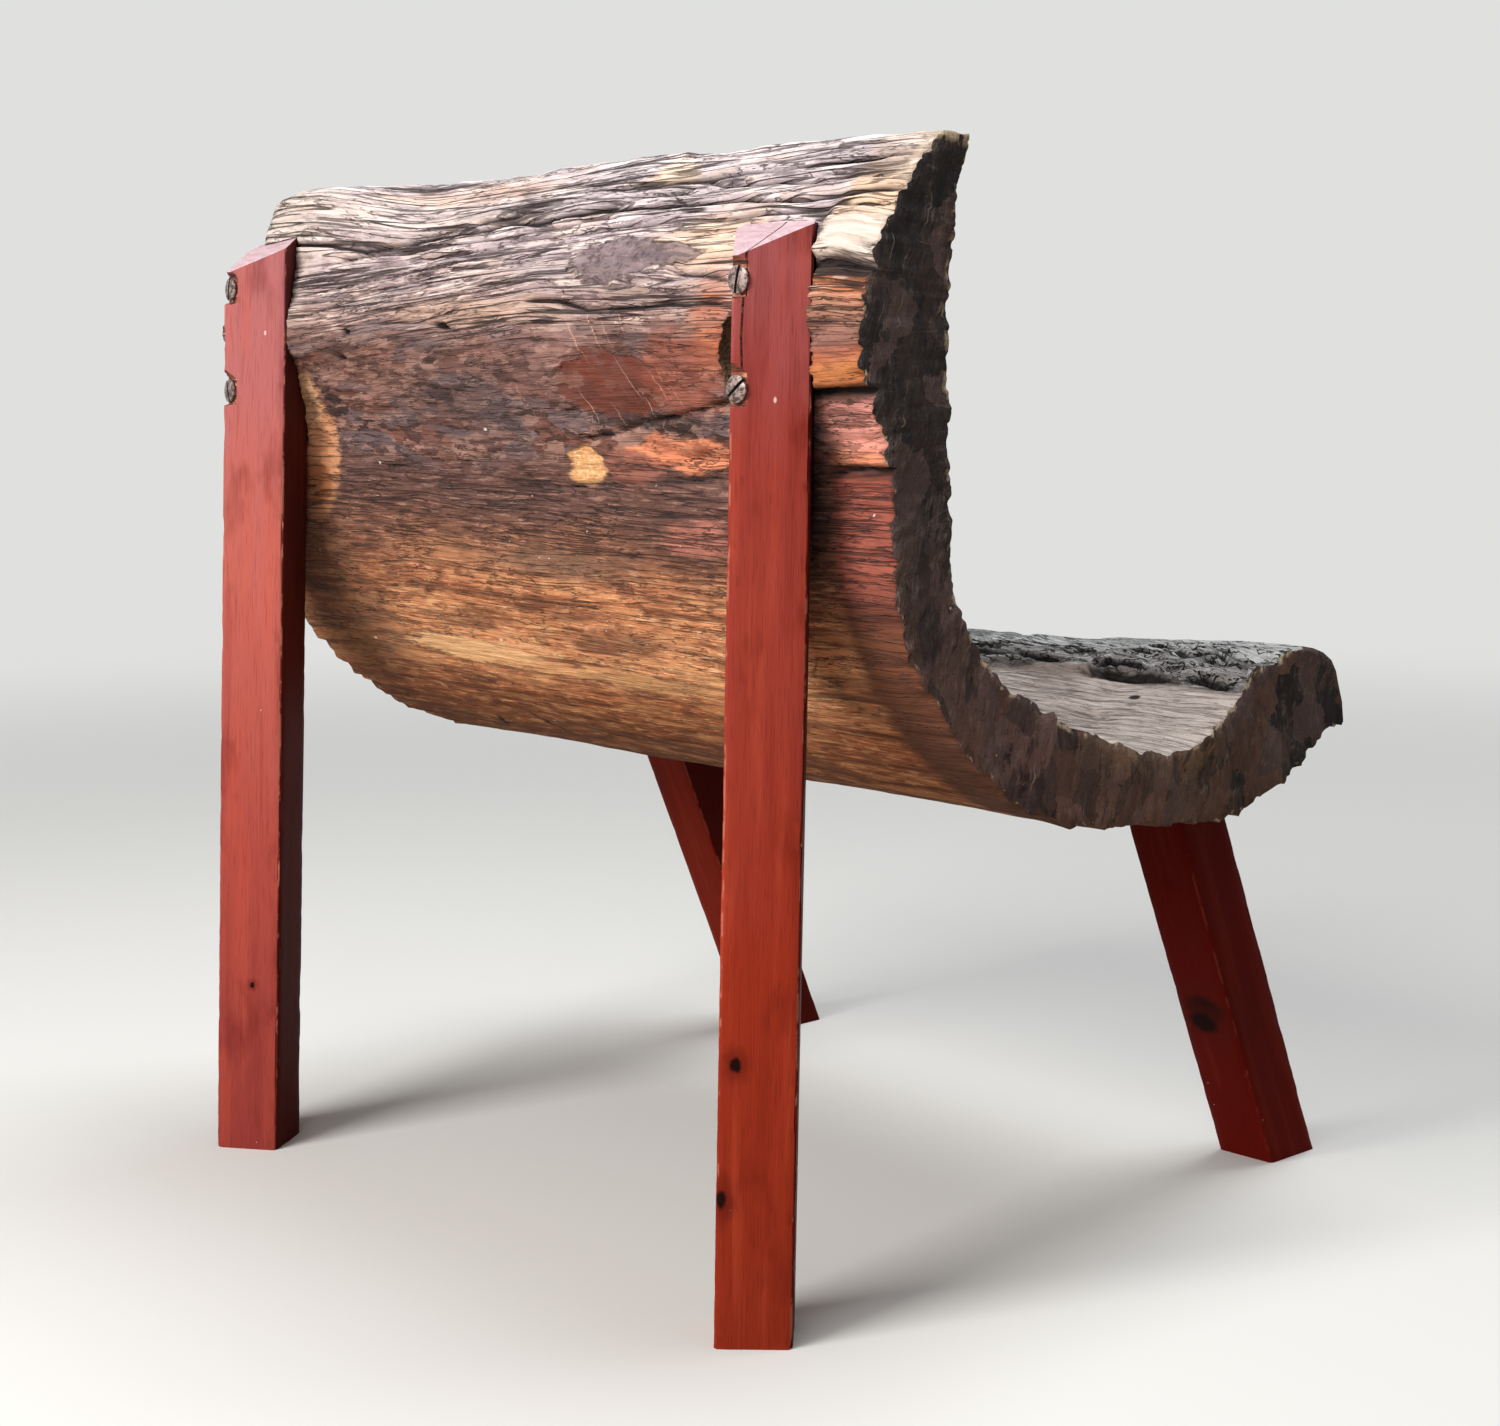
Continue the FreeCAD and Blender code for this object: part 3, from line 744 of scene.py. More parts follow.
# %% Screws
head_stand = 2.4
screw_profile = [(0, 0.35), (3.2, 0.25), (5.5, 0.0), (6.1, -0.25), (6.3, -0.7), (6.2, -1.3),
                 (3.05, -4.2), (3.05, -61.0), (0, -70.0)]
screw_steps = 40
screw_sharp = math.radians(30)
slot_room = [(-8, -1.9, -0.8), (8, 2, 0.8)]
slot_turns = {"upper_right": -12, "lower_right": -52, "upper_left": -8, "lower_left": 20}


def wood_screw(turn):
    """A slotted screw along -y, with the middle of its head's face at the origin."""
    bm = bmesh.new()
    verts = [bm.verts.new((radius, along, 0)) for radius, along in screw_profile]
    edges = [bm.edges.new(pair) for pair in zip(verts, verts[1:])]
    bmesh.ops.spin(bm, geom=verts + edges, cent=(0, 0, 0), axis=(0, 1, 0), angle=2 * math.pi,
                   steps=screw_steps, use_merge=True)
    bmesh.ops.remove_doubles(bm, verts=bm.verts, dist=0.001)
    bmesh.ops.recalc_face_normals(bm, faces=bm.faces)
    slot = rough_box(*slot_room, 3, 0.12, 7)
    bmesh.ops.rotate(slot, matrix=Matrix.Rotation(math.radians(90 + turn), 3, "Y"), verts=slot.verts)
    mesh = cut_away(to_mesh(bm, "wood_screw"), [to_mesh(slot, "slot")])
    mesh.set_sharp_from_angle(angle=screw_sharp)
    return mesh


screws = {}
for hand in sides:
    for level, height in zip(("upper", "lower"), screw_levels[hand]):
        name = level + "_screw_" + hand
        mesh = wood_screw(slot_turns[level + "_" + hand])
        set_in = Matrix.Translation((0, notch_seat + head_stand, height))
        mesh.transform(to_metres @ post_place(hand) @ set_in)
        screws[name] = add_piece(name + "_steel", mesh, "screw_steel", name)
print("screws:", sorted(screws))

# %% [markdown]
# The log is chopped out to take the posts. The same bars, a hair larger, are the cutters, and beside
# the right post a rounded pocket shows where the chisel went too far.

# %% Housings in the log
housing_gap = 0.6
pocket_middle = (-181, 178, 424)
pocket_half = (15.5, 17, 39)


def housing(hand):
    """The room for one post, in the chair's frame."""
    bm = post_blank(hand, housing_gap)
    mark_cut(bm)
    mesh = to_mesh(bm, "housing")
    mesh.transform(to_metres @ post_place(hand))
    return mesh


def pocket(centre, half, seed):
    """A rounded room that was chopped away."""
    bm = bmesh.new()
    bmesh.ops.create_icosphere(bm, subdivisions=4, radius=1)
    for vert in bm.verts:
        rough = 1 + 0.05 * float(waves(np.float64(vert.co.x * 3), np.float64(vert.co.z * 4), seed))
        vert.co = Vector(c + h * v * rough for c, h, v in zip(centre, half, vert.co))
    mark_cut(bm)
    mesh = to_mesh(bm, "pocket")
    mesh.transform(to_metres)
    return mesh


chopped = pocket(pocket_middle, pocket_half, 61)
log_slab.data = cut_away(slab_mesh, [housing("right"), housing("left"), chopped])
print("log slab with housings:", len(log_slab.data.polygons), "faces")

# %% [markdown]
# A finish is a network of shader nodes. Written out node by node it is hard to read, so one small class
# wraps a socket: a sum on sockets adds its Math nodes, and one method makes every other kind of node.

# %% Sums on sockets
class Socket:
    """One output in a finish. A sum on sockets adds the Math nodes that work it out."""

    def __init__(self, tree, port=None):
        self.tree = tree
        self.port = port

    def node(self, kind, settings, inputs, output=0):
        """A node of a kind: its settings first, then the values or links of its sockets."""
        made = self.tree.nodes.new("ShaderNode" + kind)
        for name, value in settings.items():
            if name == "stops":
                ramp = made.color_ramp.elements
                while len(ramp) < len(value):
                    ramp.new(1.0)
                for element, (place, colour) in zip(ramp, value):
                    element.position = place
                    element.color = colour
            else:
                setattr(made, name, value)
        for name, value in inputs.items():
            if isinstance(value, Socket):
                self.tree.links.new(value.port, made.inputs[name])
            else:
                made.inputs[name].default_value = value
        return Socket(self.tree, made.outputs[output])

    def sum(self, operation, first, second=0.0):
        return self.node("Math", {"operation": operation}, {0: first, 1: second})

    def __add__(self, other):
        return self.sum("ADD", self, other)

    def __sub__(self, other):
        return self.sum("SUBTRACT", self, other)

    def __rsub__(self, other):
        return self.sum("SUBTRACT", other, self)

    def __mul__(self, other):
        return self.sum("MULTIPLY", self, other)

    def __truediv__(self, other):
        return self.sum("DIVIDE", self, other)

    def __abs__(self):
        return self.sum("ABSOLUTE", self)

    __radd__ = __add__
    __rmul__ = __mul__

    def rise(self, low, high):
        """0 at low and 1 at high, with a soft rise or fall between them."""
        return self.node("MapRange", {"interpolation_type": "SMOOTHSTEP"}, {0: self, 1: low, 2: high})

    def within(self, low, high, soft):
        """1 between low and high, with soft borders."""
        return self.rise(low - soft, low + soft) * self.rise(high + soft, high - soft)

    def tint(self, below, above):
        """A colour between two, by this socket as the share of the second."""
        return self.node("Mix", {"data_type": "RGBA"}, {0: self, 6: below, 7: above}, 2)

    def ramp(self, stops):
        return self.node("ValToRGB", {"stops": stops}, {0: self})

    def parts(self):
        """The three parts of a vector."""
        first = self.node("SeparateXYZ", {}, {0: self})
        return [Socket(self.tree, port) for port in first.port.node.outputs]

    def combine(self, *parts):
        """A vector from three parts."""
        return self.node("CombineXYZ", {}, dict(enumerate(parts)))

    def vector(self, operation, other):
        return self.node("VectorMath", {"operation": operation}, {0: self, 1: other})

    def noise(self, steps, detail=2.0, rough=0.5, output="Fac"):
        """Noise about 0.5 that changes over a step of so many millimetres each way."""
        spread = self.vector("DIVIDE", steps)
        settings = {"Vector": spread, "Scale": 1.0, "Detail": detail, "Roughness": rough}
        return self.node("TexNoise", {}, settings, output)

    def dots(self, steps, size, share):
        """Small dots, one to each step, of which only a share shows."""
        spread = self.vector("DIVIDE", steps)
        near = self.node("TexVoronoi", {}, {"Vector": spread, "Scale": 1.0}, "Distance")
        chance = self.node("TexVoronoi", {}, {"Vector": spread, "Scale": 1.0}, "Color").parts()[0]
        return near.rise(size, size * 0.6) * chance.rise(share, share - 0.02)

    def flakes(self, steps):
        """Irregular flakes, one to each step, each with three random values of its own."""
        spread = self.vector("DIVIDE", steps)
        return self.node("TexVoronoi", {}, {"Vector": spread, "Scale": 1.0}, "Color").parts()

    def spot(self, centre, half, soft):
        """1 inside an oval round a place, 0 outside it, with a soft rim."""
        away = self.vector("SUBTRACT", centre).vector("DIVIDE", half)
        return away.node("VectorMath", {"operation": "LENGTH"}, {0: away}, "Value").rise(1 + soft, 1 - soft)


def paint(red, green, blue):
    """A colour as a picture gives it, from 0 to 255, made linear for a shader."""
    parts = [c / 255 for c in (red, green, blue)]
    return tuple(((c + 0.055) / 1.055) ** 2.4 if c > 0.04045 else c / 12.92 for c in parts) + (1.0,)


def layered(colour, layers):
    """Lays shades over a colour one after another, each by its share."""
    for share, shade in layers:
        colour = share.tint(colour, paint(*shade))
    return colour


def kept_value(start, name, output="Fac"):
    """A value that was stored on the points of a mesh."""
    return start.node("Attribute", {"attribute_name": name}, {}, output)


def new_finish(name):
    """An empty finish: its material, a first socket and its shader node."""
    material = bpy.data.materials.new(name)
    material.use_nodes = True
    tree = material.node_tree
    return material, Socket(tree), tree.nodes["Principled BSDF"]


def in_millimetres(start):
    """Places in the chair's own frame, in millimetres."""
    return start.node("TexCoord", {}, {}, "Object").vector("DIVIDE", (mm, mm, mm))


def wear(piece, *finishes):
    """Puts finishes on a piece, in the order of the marks on its faces."""
    slots = piece.data.materials
    while len(slots) < len(finishes):
        slots.append(None)
    for number, finish in enumerate(finishes):
        slots[number] = finish


def dress(start, shader, colour, rough, height, bump):
    """Leads a colour, a roughness and a height in millimetres into a shader."""
    lift = start.node("Bump", {}, {"Strength": bump, "Distance": mm, "Height": height}, "Normal")
    for name, socket in (("Base Color", colour), ("Roughness", rough), ("Normal", lift)):
        start.tree.links.new(socket.port, shader.inputs[name])


# %% [markdown]
# The log changes colour down its back, as the photograph shows: silvery cream ridges at the top, brown
# adze work in the middle, and warm golden sapwood where the back turns under the seat. Each belt has a
# dark, a middle and a pale colour, and fibre noise that is drawn out along the grain picks among them.

# %% Colours of the log
belt_span = 640
belts = [
    (0, (138, 125, 128), (211, 197, 201), (248, 235, 236)),
    (22, (130, 117, 121), (211, 197, 202), (252, 239, 240)),
    (62, (108, 91, 93), (192, 169, 170), (246, 225, 218)),
    (92, (90, 69, 66), (153, 123, 118), (216, 186, 174)),
    (112, (70, 47, 43), (121, 88, 80), (178, 139, 128)),
    (158, (60, 41, 38), (107, 76, 70), (156, 117, 105)),
    (194, (56, 38, 34), (100, 70, 62), (148, 112, 98)),
    (216, (72, 46, 36), (132, 88, 68), (190, 134, 102)),
    (242, (124, 75, 50), (200, 130, 90), (248, 182, 134)),
    (282, (168, 102, 66), (246, 172, 122), (255, 226, 178)),
    (312, (112, 65, 41), (178, 109, 71), (244, 172, 120)),
    (362, (100, 60, 38), (148, 92, 60), (200, 136, 92)),
    (540, (76, 52, 42), (116, 82, 66), (160, 124, 104)),
    (640, (74, 66, 62), (126, 114, 107), (176, 163, 154)),
]
beside_belts = [
    (0, (206, 186, 176)), (12, (176, 158, 152)), (28, (214, 184, 160)), (38, (222, 188, 156)),
    (48, (222, 194, 170)), (56, (212, 192, 176)), (70, (218, 200, 187)), (74, (112, 104, 100)),
    (77, (78, 58, 50)), (82, (192, 118, 80)), (92, (176, 124, 100)), (108, (146, 104, 94)),
    (113, (170, 100, 76)), (119, (194, 122, 72)), (125, (178, 108, 66)), (129, (46, 28, 22)),
    (134, (92, 58, 48)), (139, (212, 144, 132)), (156, (218, 147, 131)), (163, (216, 138, 102)),
    (167, (56, 33, 28)), (173, (150, 81, 68)), (215, (156, 86, 71)), (236, (100, 57, 44)),
    (246, (122, 74, 50)), (310, (104, 64, 46)), (400, (96, 60, 44)), (640, (96, 76, 66)),
]
log_marks = [
    ((-148, 55), (34, 15), 0.5, (236, 198, 160), 0.80),
    ((-164, 98), (14, 26), 0.5, (190, 110, 76), 0.75),
    ((122, 26), (120, 15), 0.6, (208, 188, 174), 0.40),
    ((60, 12), (70, 7), 0.5, (222, 178, 148), 0.60),
    ((-92, 12), (16, 7), 0.4, (240, 212, 180), 0.80),
    ((205, 50), (36, 44), 0.5, (204, 188, 172), 0.60),
    ((29, 91), (60, 7), 0.6, (222, 186, 162), 0.60),
    ((106, 62), (17, 9), 0.3, (120, 100, 100), 0.75),
    ((-88, 64), (36, 13), 0.10, (106, 90, 93), 0.92),
    ((-120, 62), (24, 6), 0.15, (110, 94, 97), 0.92),
    ((-244, 59), (22, 11), 0.3, (208, 188, 175), 0.95),
    ((-28, 65), (32, 6), 0.3, (176, 160, 162), 0.80),
    ((-38, 118), (60, 18), 0.6, (150, 112, 106), 0.50),
    ((44, 140), (52, 20), 0.6, (98, 82, 82), 0.60),
    ((120, 127), (44, 16), 0.6, (146, 106, 92), 0.45),
    ((-84, 130), (40, 18), 0.12, (108, 52, 39), 0.95),
    ((-138, 123), (24, 22), 0.4, (164, 94, 76), 0.75),
    # Painted shade along the crack above the wedge.
    ((-107, 148), (36, 5), 0.5, (52, 46, 46), 0.85),
    ((-122, 164), (38, 9), 0.15, (238, 149, 110), 0.90),
    ((-48, 172), (13, 10), 0.15, (234, 180, 126), 0.98),
    ((-81, 172), (22, 9), 0.2, (158, 100, 84), 0.88),
    ((196, 166), (25, 42), 0.20, (246, 174, 124), 0.88),
    ((190, 142), (13, 15), 0.12, (240, 196, 150), 0.75),
    ((200, 190), (19, 13), 0.15, (170, 100, 62), 0.80),
    ((-130, 205), (24, 9), 0.4, (188, 118, 102), 0.80),
    ((83, 221), (40, 6), 0.5, (190, 132, 94), 0.65),
    ((-19, 222), (56, 8), 0.5, (112, 92, 78), 0.65),
    # A painted shadow beside the left post, low on the back.
    ((199, 262), (52, 56), 0.6, (72, 44, 32), 0.84),
    ((90, 284), (56, 8), 0.15, (255, 206, 152), 0.92),
    ((-38, 291), (120, 5), 0.4, (250, 190, 134), 0.75),
]
print(len(belts), "belts of colour and", len(log_marks), "marks on the log")


# %% [markdown]
# The finish could be one baked picture, but a network of noises stays sharp at any distance. It is built
# in layers, as the wood was: the belts and their flakes, then the marks that the chair shows, among them
# a painted shadow and a painted shade, then cracks and specks, and last the grey inside. The deepest
# cracks are painted dark as shade, and the ridges pale, partly as a painted highlight. A table gives
# each layer its share and its colour.

# %% Finish of the log
def belt_ramp(place, rows, which):
    """A colour ramp down the log from one column of the belts."""
    return place.ramp([(row[0] / belt_span, paint(*row[which])) for row in rows])


def log_wood(name):
    """Weathered wood, furrowed and stained outside and silver grey inside."""
    material, start, shader = new_finish(name)
    grain = kept_value(start, "grain", "Vector")
    cracks = kept_value(start, "cracks")
    fibre = kept_value(start, "fibre")
    x, s, deep = grain.parts()
    place = start.combine(x, fibre, deep * 60)
    fine = place.noise((15, 0.9, 12), 3, 0.7)
    strand = place.noise((60, 2.4, 30), 3, 0.62)
    dash = place.noise((24, 2.0, 20), 4, 0.68)
    streak = place.noise((150, 8, 40), 3, 0.55)
    blotch = place.noise((42, 15, 40), 3, 0.6)
    wander = place.noise((120, 46, 80), 3, 0.6)
    ragged = place.noise((9, 4, 9), 4, 0.7, "Color").vector("SUBTRACT", (0.5, 0.5, 0.5))
    bent = place.vector("ADD", ragged.vector("MULTIPLY", (24, 6, 0)))
    plate, warm = bent.flakes((34, 4.2, 30))[:2]
    splint = bent.flakes((12, 1.8, 30))[0]
    chip, cool = bent.flakes((27, 10, 30))[:2]
    flake, dusk = bent.flakes((8, 3.6, 30))[:2]
    heart = deep.rise(0.4, 0.6)
    weathered = s.rise(118, 96)
    hewn = (s + 30 * (wander - 0.5)).within(106, 172, 12) * (1 - heart)
    worn = s.rise(162, 190)
    gold = s.rise(212, 244)

    zone = (s + 40 * (wander - 0.5) + 20 * (blotch - 0.5) + 10 * (strand - 0.5)) / belt_span
    tone = 0.22 * plate + 0.18 * splint + 0.85 * strand + 0.6 * fine - 0.42
    hewn_tone = 0.40 * chip + 0.34 * flake + 0.34 * dash + 0.18 * fine - 0.13
    worn_tone = 0.12 * splint + 0.10 * flake + 1.1 * dash + 0.6 * fine - 0.46
    tone = tone + hewn * (hewn_tone - tone)
    tone = tone + worn * (worn_tone - tone)
    light = tone.rise(0.53, 0.72)
    dark = tone.rise(0.46, 0.29)
    colour = light.tint(belt_ramp(zone, belts, 2), belt_ramp(zone, belts, 3))
    colour = dark.tint(colour, belt_ramp(zone, belts, 1))
    drift = place.noise((80, 15, 40), 3, 0.55)
    colour = layered(colour, [
        (weathered * warm.rise(0.70, 0.76) * 0.40, (218, 192, 178)),
        (weathered * warm.rise(0.26, 0.20) * 0.40, (156, 142, 147)),
        (hewn * cool.rise(0.64, 0.68) * 0.75, (112, 95, 98)),
        (hewn * cool.rise(0.26, 0.22) * 0.72, (122, 79, 67)),
        (hewn * dusk.rise(0.82, 0.86) * 0.65, (170, 132, 119)),
        (hewn * dusk.rise(0.17, 0.13) * 0.75, (58, 42, 39)),
        (gold * dusk.rise(0.84, 0.90) * 0.40, (240, 184, 132)),
        (worn * dusk.rise(0.18, 0.12) * 0.40, (78, 48, 36)),
        (gold * streak.rise(0.47, 0.36) * 0.70, (98, 56, 36)),
        (worn * blotch.rise(0.42, 0.32) * 0.40, (84, 54, 41)),
        (gold * drift.rise(0.48, 0.36) * 0.60, (106, 65, 50)),
        (gold * drift.rise(0.55, 0.66) * 0.40, (244, 180, 124)),
    ])
    strips = (s + 7 * (strand - 0.5) + 9 * (blotch - 0.5)) / belt_span
    beside = belt_ramp(strips, beside_belts, 1)
    beside = (0.55 * dark).tint(beside, paint(70, 48, 42))
    beside = (0.45 * light * s.rise(112, 76)).tint(beside, paint(244, 218, 198))
    colour = x.rise(-218, -230).tint(colour, beside)

    shifted = place.noise((20, 7, 30), 3, 0.6, "Color").vector("SUBTRACT", (0.5, 0.5, 0.5))
    moved = grain.vector("ADD", shifted.vector("MULTIPLY", (34, 17, 0)))
    near = grain.vector("ADD", shifted.vector("MULTIPLY", (13, 7, 0)))
    clean = start.sum("ADD", 0.0)
    for centre, half, soft, shade, strength in log_marks:
        mark = (near if half[0] < small_mark else moved).spot(centre + (0,), half + (0.6,), soft)
        colour = (mark * strength * (0.80 + 0.4 * light - 0.25 * dark)).tint(colour, paint(*shade))
        if strength > clean_strength:
            clean = start.sum("MAXIMUM", clean, mark)
    rubble = place.noise((2.6, 1.8, 30), 3, 0.7)
    lumpy = place.noise((8, 5, 30), 4, 0.75)
    scab = start.sum("MAXIMUM", moved.spot((-88, 64, 0), (36, 13, 0.6), 0.1),
                     moved.spot((-120, 62, 0), (24, 6, 0.6), 0.15))
    grit = near.spot((-48, 172, 0), (13, 10, 0.6), 0.15)
    slant = start.combine(x + 0.55 * s, s, deep * 60)
    scratch = slant.noise((2.2, 60, 30), 1).rise(0.66, 0.72) * moved.spot((-74, 120, 0), (70, 34, 0.6), 0.5)
    colour = layered(colour, [
        (scab * lumpy.rise(0.52, 0.64) * 0.6, (160, 140, 140)),
        (scab * lumpy.rise(0.48, 0.38) * 0.8, (74, 61, 64)),
        (3 * scab * (1 - scab), (70, 54, 53)),
        (grit * rubble.rise(0.50, 0.38) * 0.7, (206, 138, 76)),
        (grit * rubble.rise(0.54, 0.66) * 0.6, (255, 234, 190)),
        (0.75 * scratch, (206, 160, 142)),
    ])

    bare = 1 - clean
    hair = abs(place.noise((120, 5.2, 30), 2, 0.6) - 0.5).rise(0.026, 0.008) * bare * (1 - 0.6 * hewn)
    thread = abs(place.noise((34, 4.4, 20), 3, 0.65) - 0.5).rise(0.020, 0.006)
    thread = thread * blotch.rise(0.44, 0.56) * bare
    long = abs(place.noise((220, 7.0, 40), 2, 0.4) - 0.5).rise(0.020, 0.006) * weathered * bare
    # Pale on the raised ridges of the top belt: partly the wood's own colour, partly a painted highlight.
    ridge = cracks.rise(-0.7, 0.0) * s.rise(100, 64) * tone.rise(0.42, 0.66) * (1 - scab)
    specks = place.dots((3.4, 3.4, 9), 0.20, 0.014) + place.dots((26, 14, 30), 0.08, 0.22) * bare
    glints = grain.dots((2.1, 1.4, 9), 0.30, 0.16) * moved.spot((-22, 222, 0), (30, 5, 0.6), 0.5)
    colour = layered(colour, [
        (0.45 * ridge, (246, 230, 222)),
        (0.70 * hair * s.rise(330, 190), (46, 35, 34)),
        (0.85 * long, (44, 34, 34)),
        (0.75 * thread * s.rise(330, 260), (50, 36, 33)),
        # Darker the deeper the crack: painted shade in the furrows and cracks.
        (0.55 * (cracks * -1).rise(1.4, 3.0), (78, 62, 60)),
        (0.92 * (cracks * -1).rise(2.8, 4.4), (28, 21, 20)),
        ((0.9 * specks + glints).rise(0, 1), (238, 228, 220)),
    ])
    for centre, turn in log_slits:
        turned = grain.node("VectorRotate", {"rotation_type": "Z_AXIS"},
                            {"Vector": grain, "Center": centre, "Angle": math.radians(-turn)})
        colour = (0.95 * turned.spot(centre, slit_half, 0.5)).tint(colour, paint(38, 22, 16))
    brim = (s + 16 * (blotch - 0.5)).rise(40, 16) * (x + 26 * (strand - 0.5)).rise(-246, -252)
    colour = (0.8 * brim).tint(colour, light.tint(paint(196, 176, 158), paint(236, 221, 206)))

    torn = (s + 16 * (blotch - 0.5)).rise(torn_low - 5, torn_low + 5)
    grey = light.tint(paint(206, 192, 184), paint(236, 224, 215))
    grey = dark.tint(grey, paint(146, 133, 126))
    grey = (blotch.rise(0.54, 0.66) * 0.4).tint(grey, paint(168, 148, 134))
    grey = (0.9 * torn).tint(grey, light.tint(paint(164, 162, 161), paint(220, 218, 216)))
    crest = (s + 12 * (blotch - 0.5)).rise(lip_low - 8, lip_low + 8)
    grey = crest.tint(grey, light.tint(paint(216, 217, 214), paint(244, 245, 242)))
    crag = bent.flakes((16, 5, 30))[0]
    crackle = torn * abs(place.noise((26, 7, 30), 4, 0.7) - 0.5).rise(0.026, 0.012) * heart
    grey = layered(grey, [
        (grain.spot((-198, hole_down, 1), (3.6, 2.6, 0.5), 0.3), (44, 38, 36)),
        (0.4 * hair, (88, 78, 75)),
        ((0.60 - 0.4 * crest) * torn * rubble.rise(0.46, 0.37), (52, 49, 49)),
        ((0.5 - 0.3 * crest) * torn * crag.rise(0.34, 0.26), (70, 67, 67)),
        (0.95 * crackle, (24, 22, 22)),
        # Darker the deeper the crack: painted shade in the cracks of the inside.
        (0.92 * (cracks * -1).rise(0.9, 3.4), (30, 27, 27)),
    ])
    colour = heart.tint(colour, grey)

    rough = 0.95 - 0.20 * light - 0.10 * streak
    height = 0.8 * fine + 0.9 * strand + 0.8 * dash - 1.0 * hair - 0.8 * thread - 1.4 * long
    height = height + bare * (weathered * (1.4 * plate + 0.7 * splint) + hewn * (1.8 * chip + 1.2 * flake))
    height = height + 0.35 * worn * (splint + flake) + 3.0 * scab * lumpy
    height = height + heart * torn * (4.0 * crag - 3.0 * crackle)
    dress(start, shader, colour, rough, height, 1.0)
    shader.inputs["Specular IOR Level"].default_value = 0.25
    return material


clean_strength = 0.9
log_slits = [((145, 365, 0), 54), ((89, 353, 0), 115)]
slit_half = (14, 2.2, 0.6)
small_mark = 20
torn_low = 451 * outside[3] / inside[3]
lip_low = 475 * outside[3] / inside[3]
hole_down = 437 * outside[3] / inside[3]
log_finish = log_wood("weathered_log")
print("log finish:", len(log_finish.node_tree.nodes), "nodes")

# %% [markdown]
# The sawn ends went nearly black in the weather, and their colour is darker still as painted shade.
# Saw marks cross the wall, and where a splinter broke off the rim the wood shows pale. The housings are
# rough and brown, as a chisel leaves green wood.

# %% Finish of the ends and the housings
def log_end(name):
    """End grain blackened by weather and painted shade; saw marks, rays across the wall, lumps broken away.
    """
    material, start, shader = new_finish(name)
    grain = kept_value(start, "grain", "Vector")
    s, deep = grain.parts()[1:]
    along, y, z = in_millimetres(start).parts()
    lumps = start.combine(y, z, along / 9)
    blotch = lumps.noise((26, 22, 30), 3, 0.6)
    place = start.combine(y + 0.24 * z + 16 * blotch, z, along / 9)
    saw = place.noise((1.2, 17, 30), 3, 0.65)
    wide = place.noise((4.2, 30, 30), 3, 0.6)
    broken = lumps.noise((8, 6, 30), 4, 0.68)
    slab = lumps.noise((16, 38, 30), 3, 0.6)
    down = (s + 90 * (blotch - 0.5)) / belt_span
    # The whole ramp is darker than the weathered wood alone: painted shade on the ends.
    colour = down.ramp([(0.0, paint(52, 47, 47)), (0.30, paint(64, 55, 54)), (0.56, paint(108, 80, 75)),
                        (0.75, paint(104, 78, 65)), (0.83, paint(42, 34, 31)), (1.0, paint(34, 28, 26))])
    trough = s.within(400, 520, 40) * (deep + 0.3 * (broken - 0.5)).rise(0.55, 0.85)
    tone = 0.40 * saw + 0.22 * wide + 0.38 * broken
    bent = lumps.vector("ADD", lumps.noise((9, 9, 30), 3, 0.6, "Color").vector("MULTIPLY", (14, 14, 0)))
    facet, stain_tone, lift = bent.flakes((15, 26, 60))
    rays = start.combine(s + 10 * (blotch - 0.5), deep * 40, along / 9)
    ray = rays.noise((1.5, 30, 30), 2).rise(0.62, 0.70) * slab.rise(0.46, 0.56) * s.rise(300, 200)
    chip = lumps.noise((8, 11, 30), 3, 0.6)
    rim = (deep + 0.12 * (saw - 0.5)).rise(0.93, 0.98) * chip.rise(0.52, 0.60) * 0.8
    rim = rim + deep.rise(0.05, 0.02) * chip.rise(0.58, 0.66) * 0.8
    rim = rim + s.rise(7, 2) * chip.rise(0.40, 0.52) * 0.9
    scratch = place.noise((2.4, 60, 60), 1).rise(0.70, 0.76) * blotch.rise(0.50, 0.60)
    colour = layered(colour, [
        (0.7 * trough, (124, 98, 74)),
        (0.80 * tone.rise(0.51, 0.61), (116, 101, 94)),
        (0.9 * tone.rise(0.48, 0.40), (16, 14, 14)),
        (slab.rise(0.52, 0.60) * 0.5, (92, 74, 66)),
        (slab.rise(0.47, 0.40) * 0.6, (26, 23, 23)),
        (facet.rise(0.62, 0.68) * 0.45, (108, 86, 82)),
        (facet.rise(0.30, 0.24) * 0.50, (28, 24, 25)),
        (stain_tone.rise(0.70, 0.76) * s.rise(200, 300) * 0.40, (112, 80, 66)),
        (0.45 * ray, (120, 112, 108)),
        (rim, (196, 174, 146)),
        (0.6 * scratch, (150, 136, 124)),
        (lumps.dots((6, 6, 9), 0.16, 0.04), (206, 176, 132)),
    ])
    height = 1.4 * saw + 1.2 * wide + 2.4 * broken + 4.0 * slab + 2.6 * lift
    dress(start, shader, colour, 0.95 - 0.2 * saw, height, 1.0)
    shader.inputs["Specular IOR Level"].default_value = 0.2
    return material


def chopped_wood(name, low, middle, high):
    """Rough inside wood where a chisel went."""
    material, start, shader = new_finish(name)
    place = in_millimetres(start)
    fibre = place.noise((24, 1.6, 1.6), 3, 0.6)
    blotch = place.noise((14, 10, 10), 3)
    colour = fibre.rise(0.40, 0.52).tint(paint(*low), paint(*middle))
    colour = (fibre.rise(0.52, 0.64) * blotch.rise(0.42, 0.58)).tint(colour, paint(*high))
    dress(start, shader, colour, 0.75 + 0.2 * fibre, 1.4 * fibre, 0.9)
    return material


end_finish = log_end("blackened_end_with_painted_shade")
housing_finish = chopped_wood("chopped_housing", (44, 30, 20), (84, 62, 38), (132, 102, 62))
wear(log_slab, log_finish, end_finish, housing_finish)
print("log slab wears", [finish.name for finish in log_slab.data.materials])
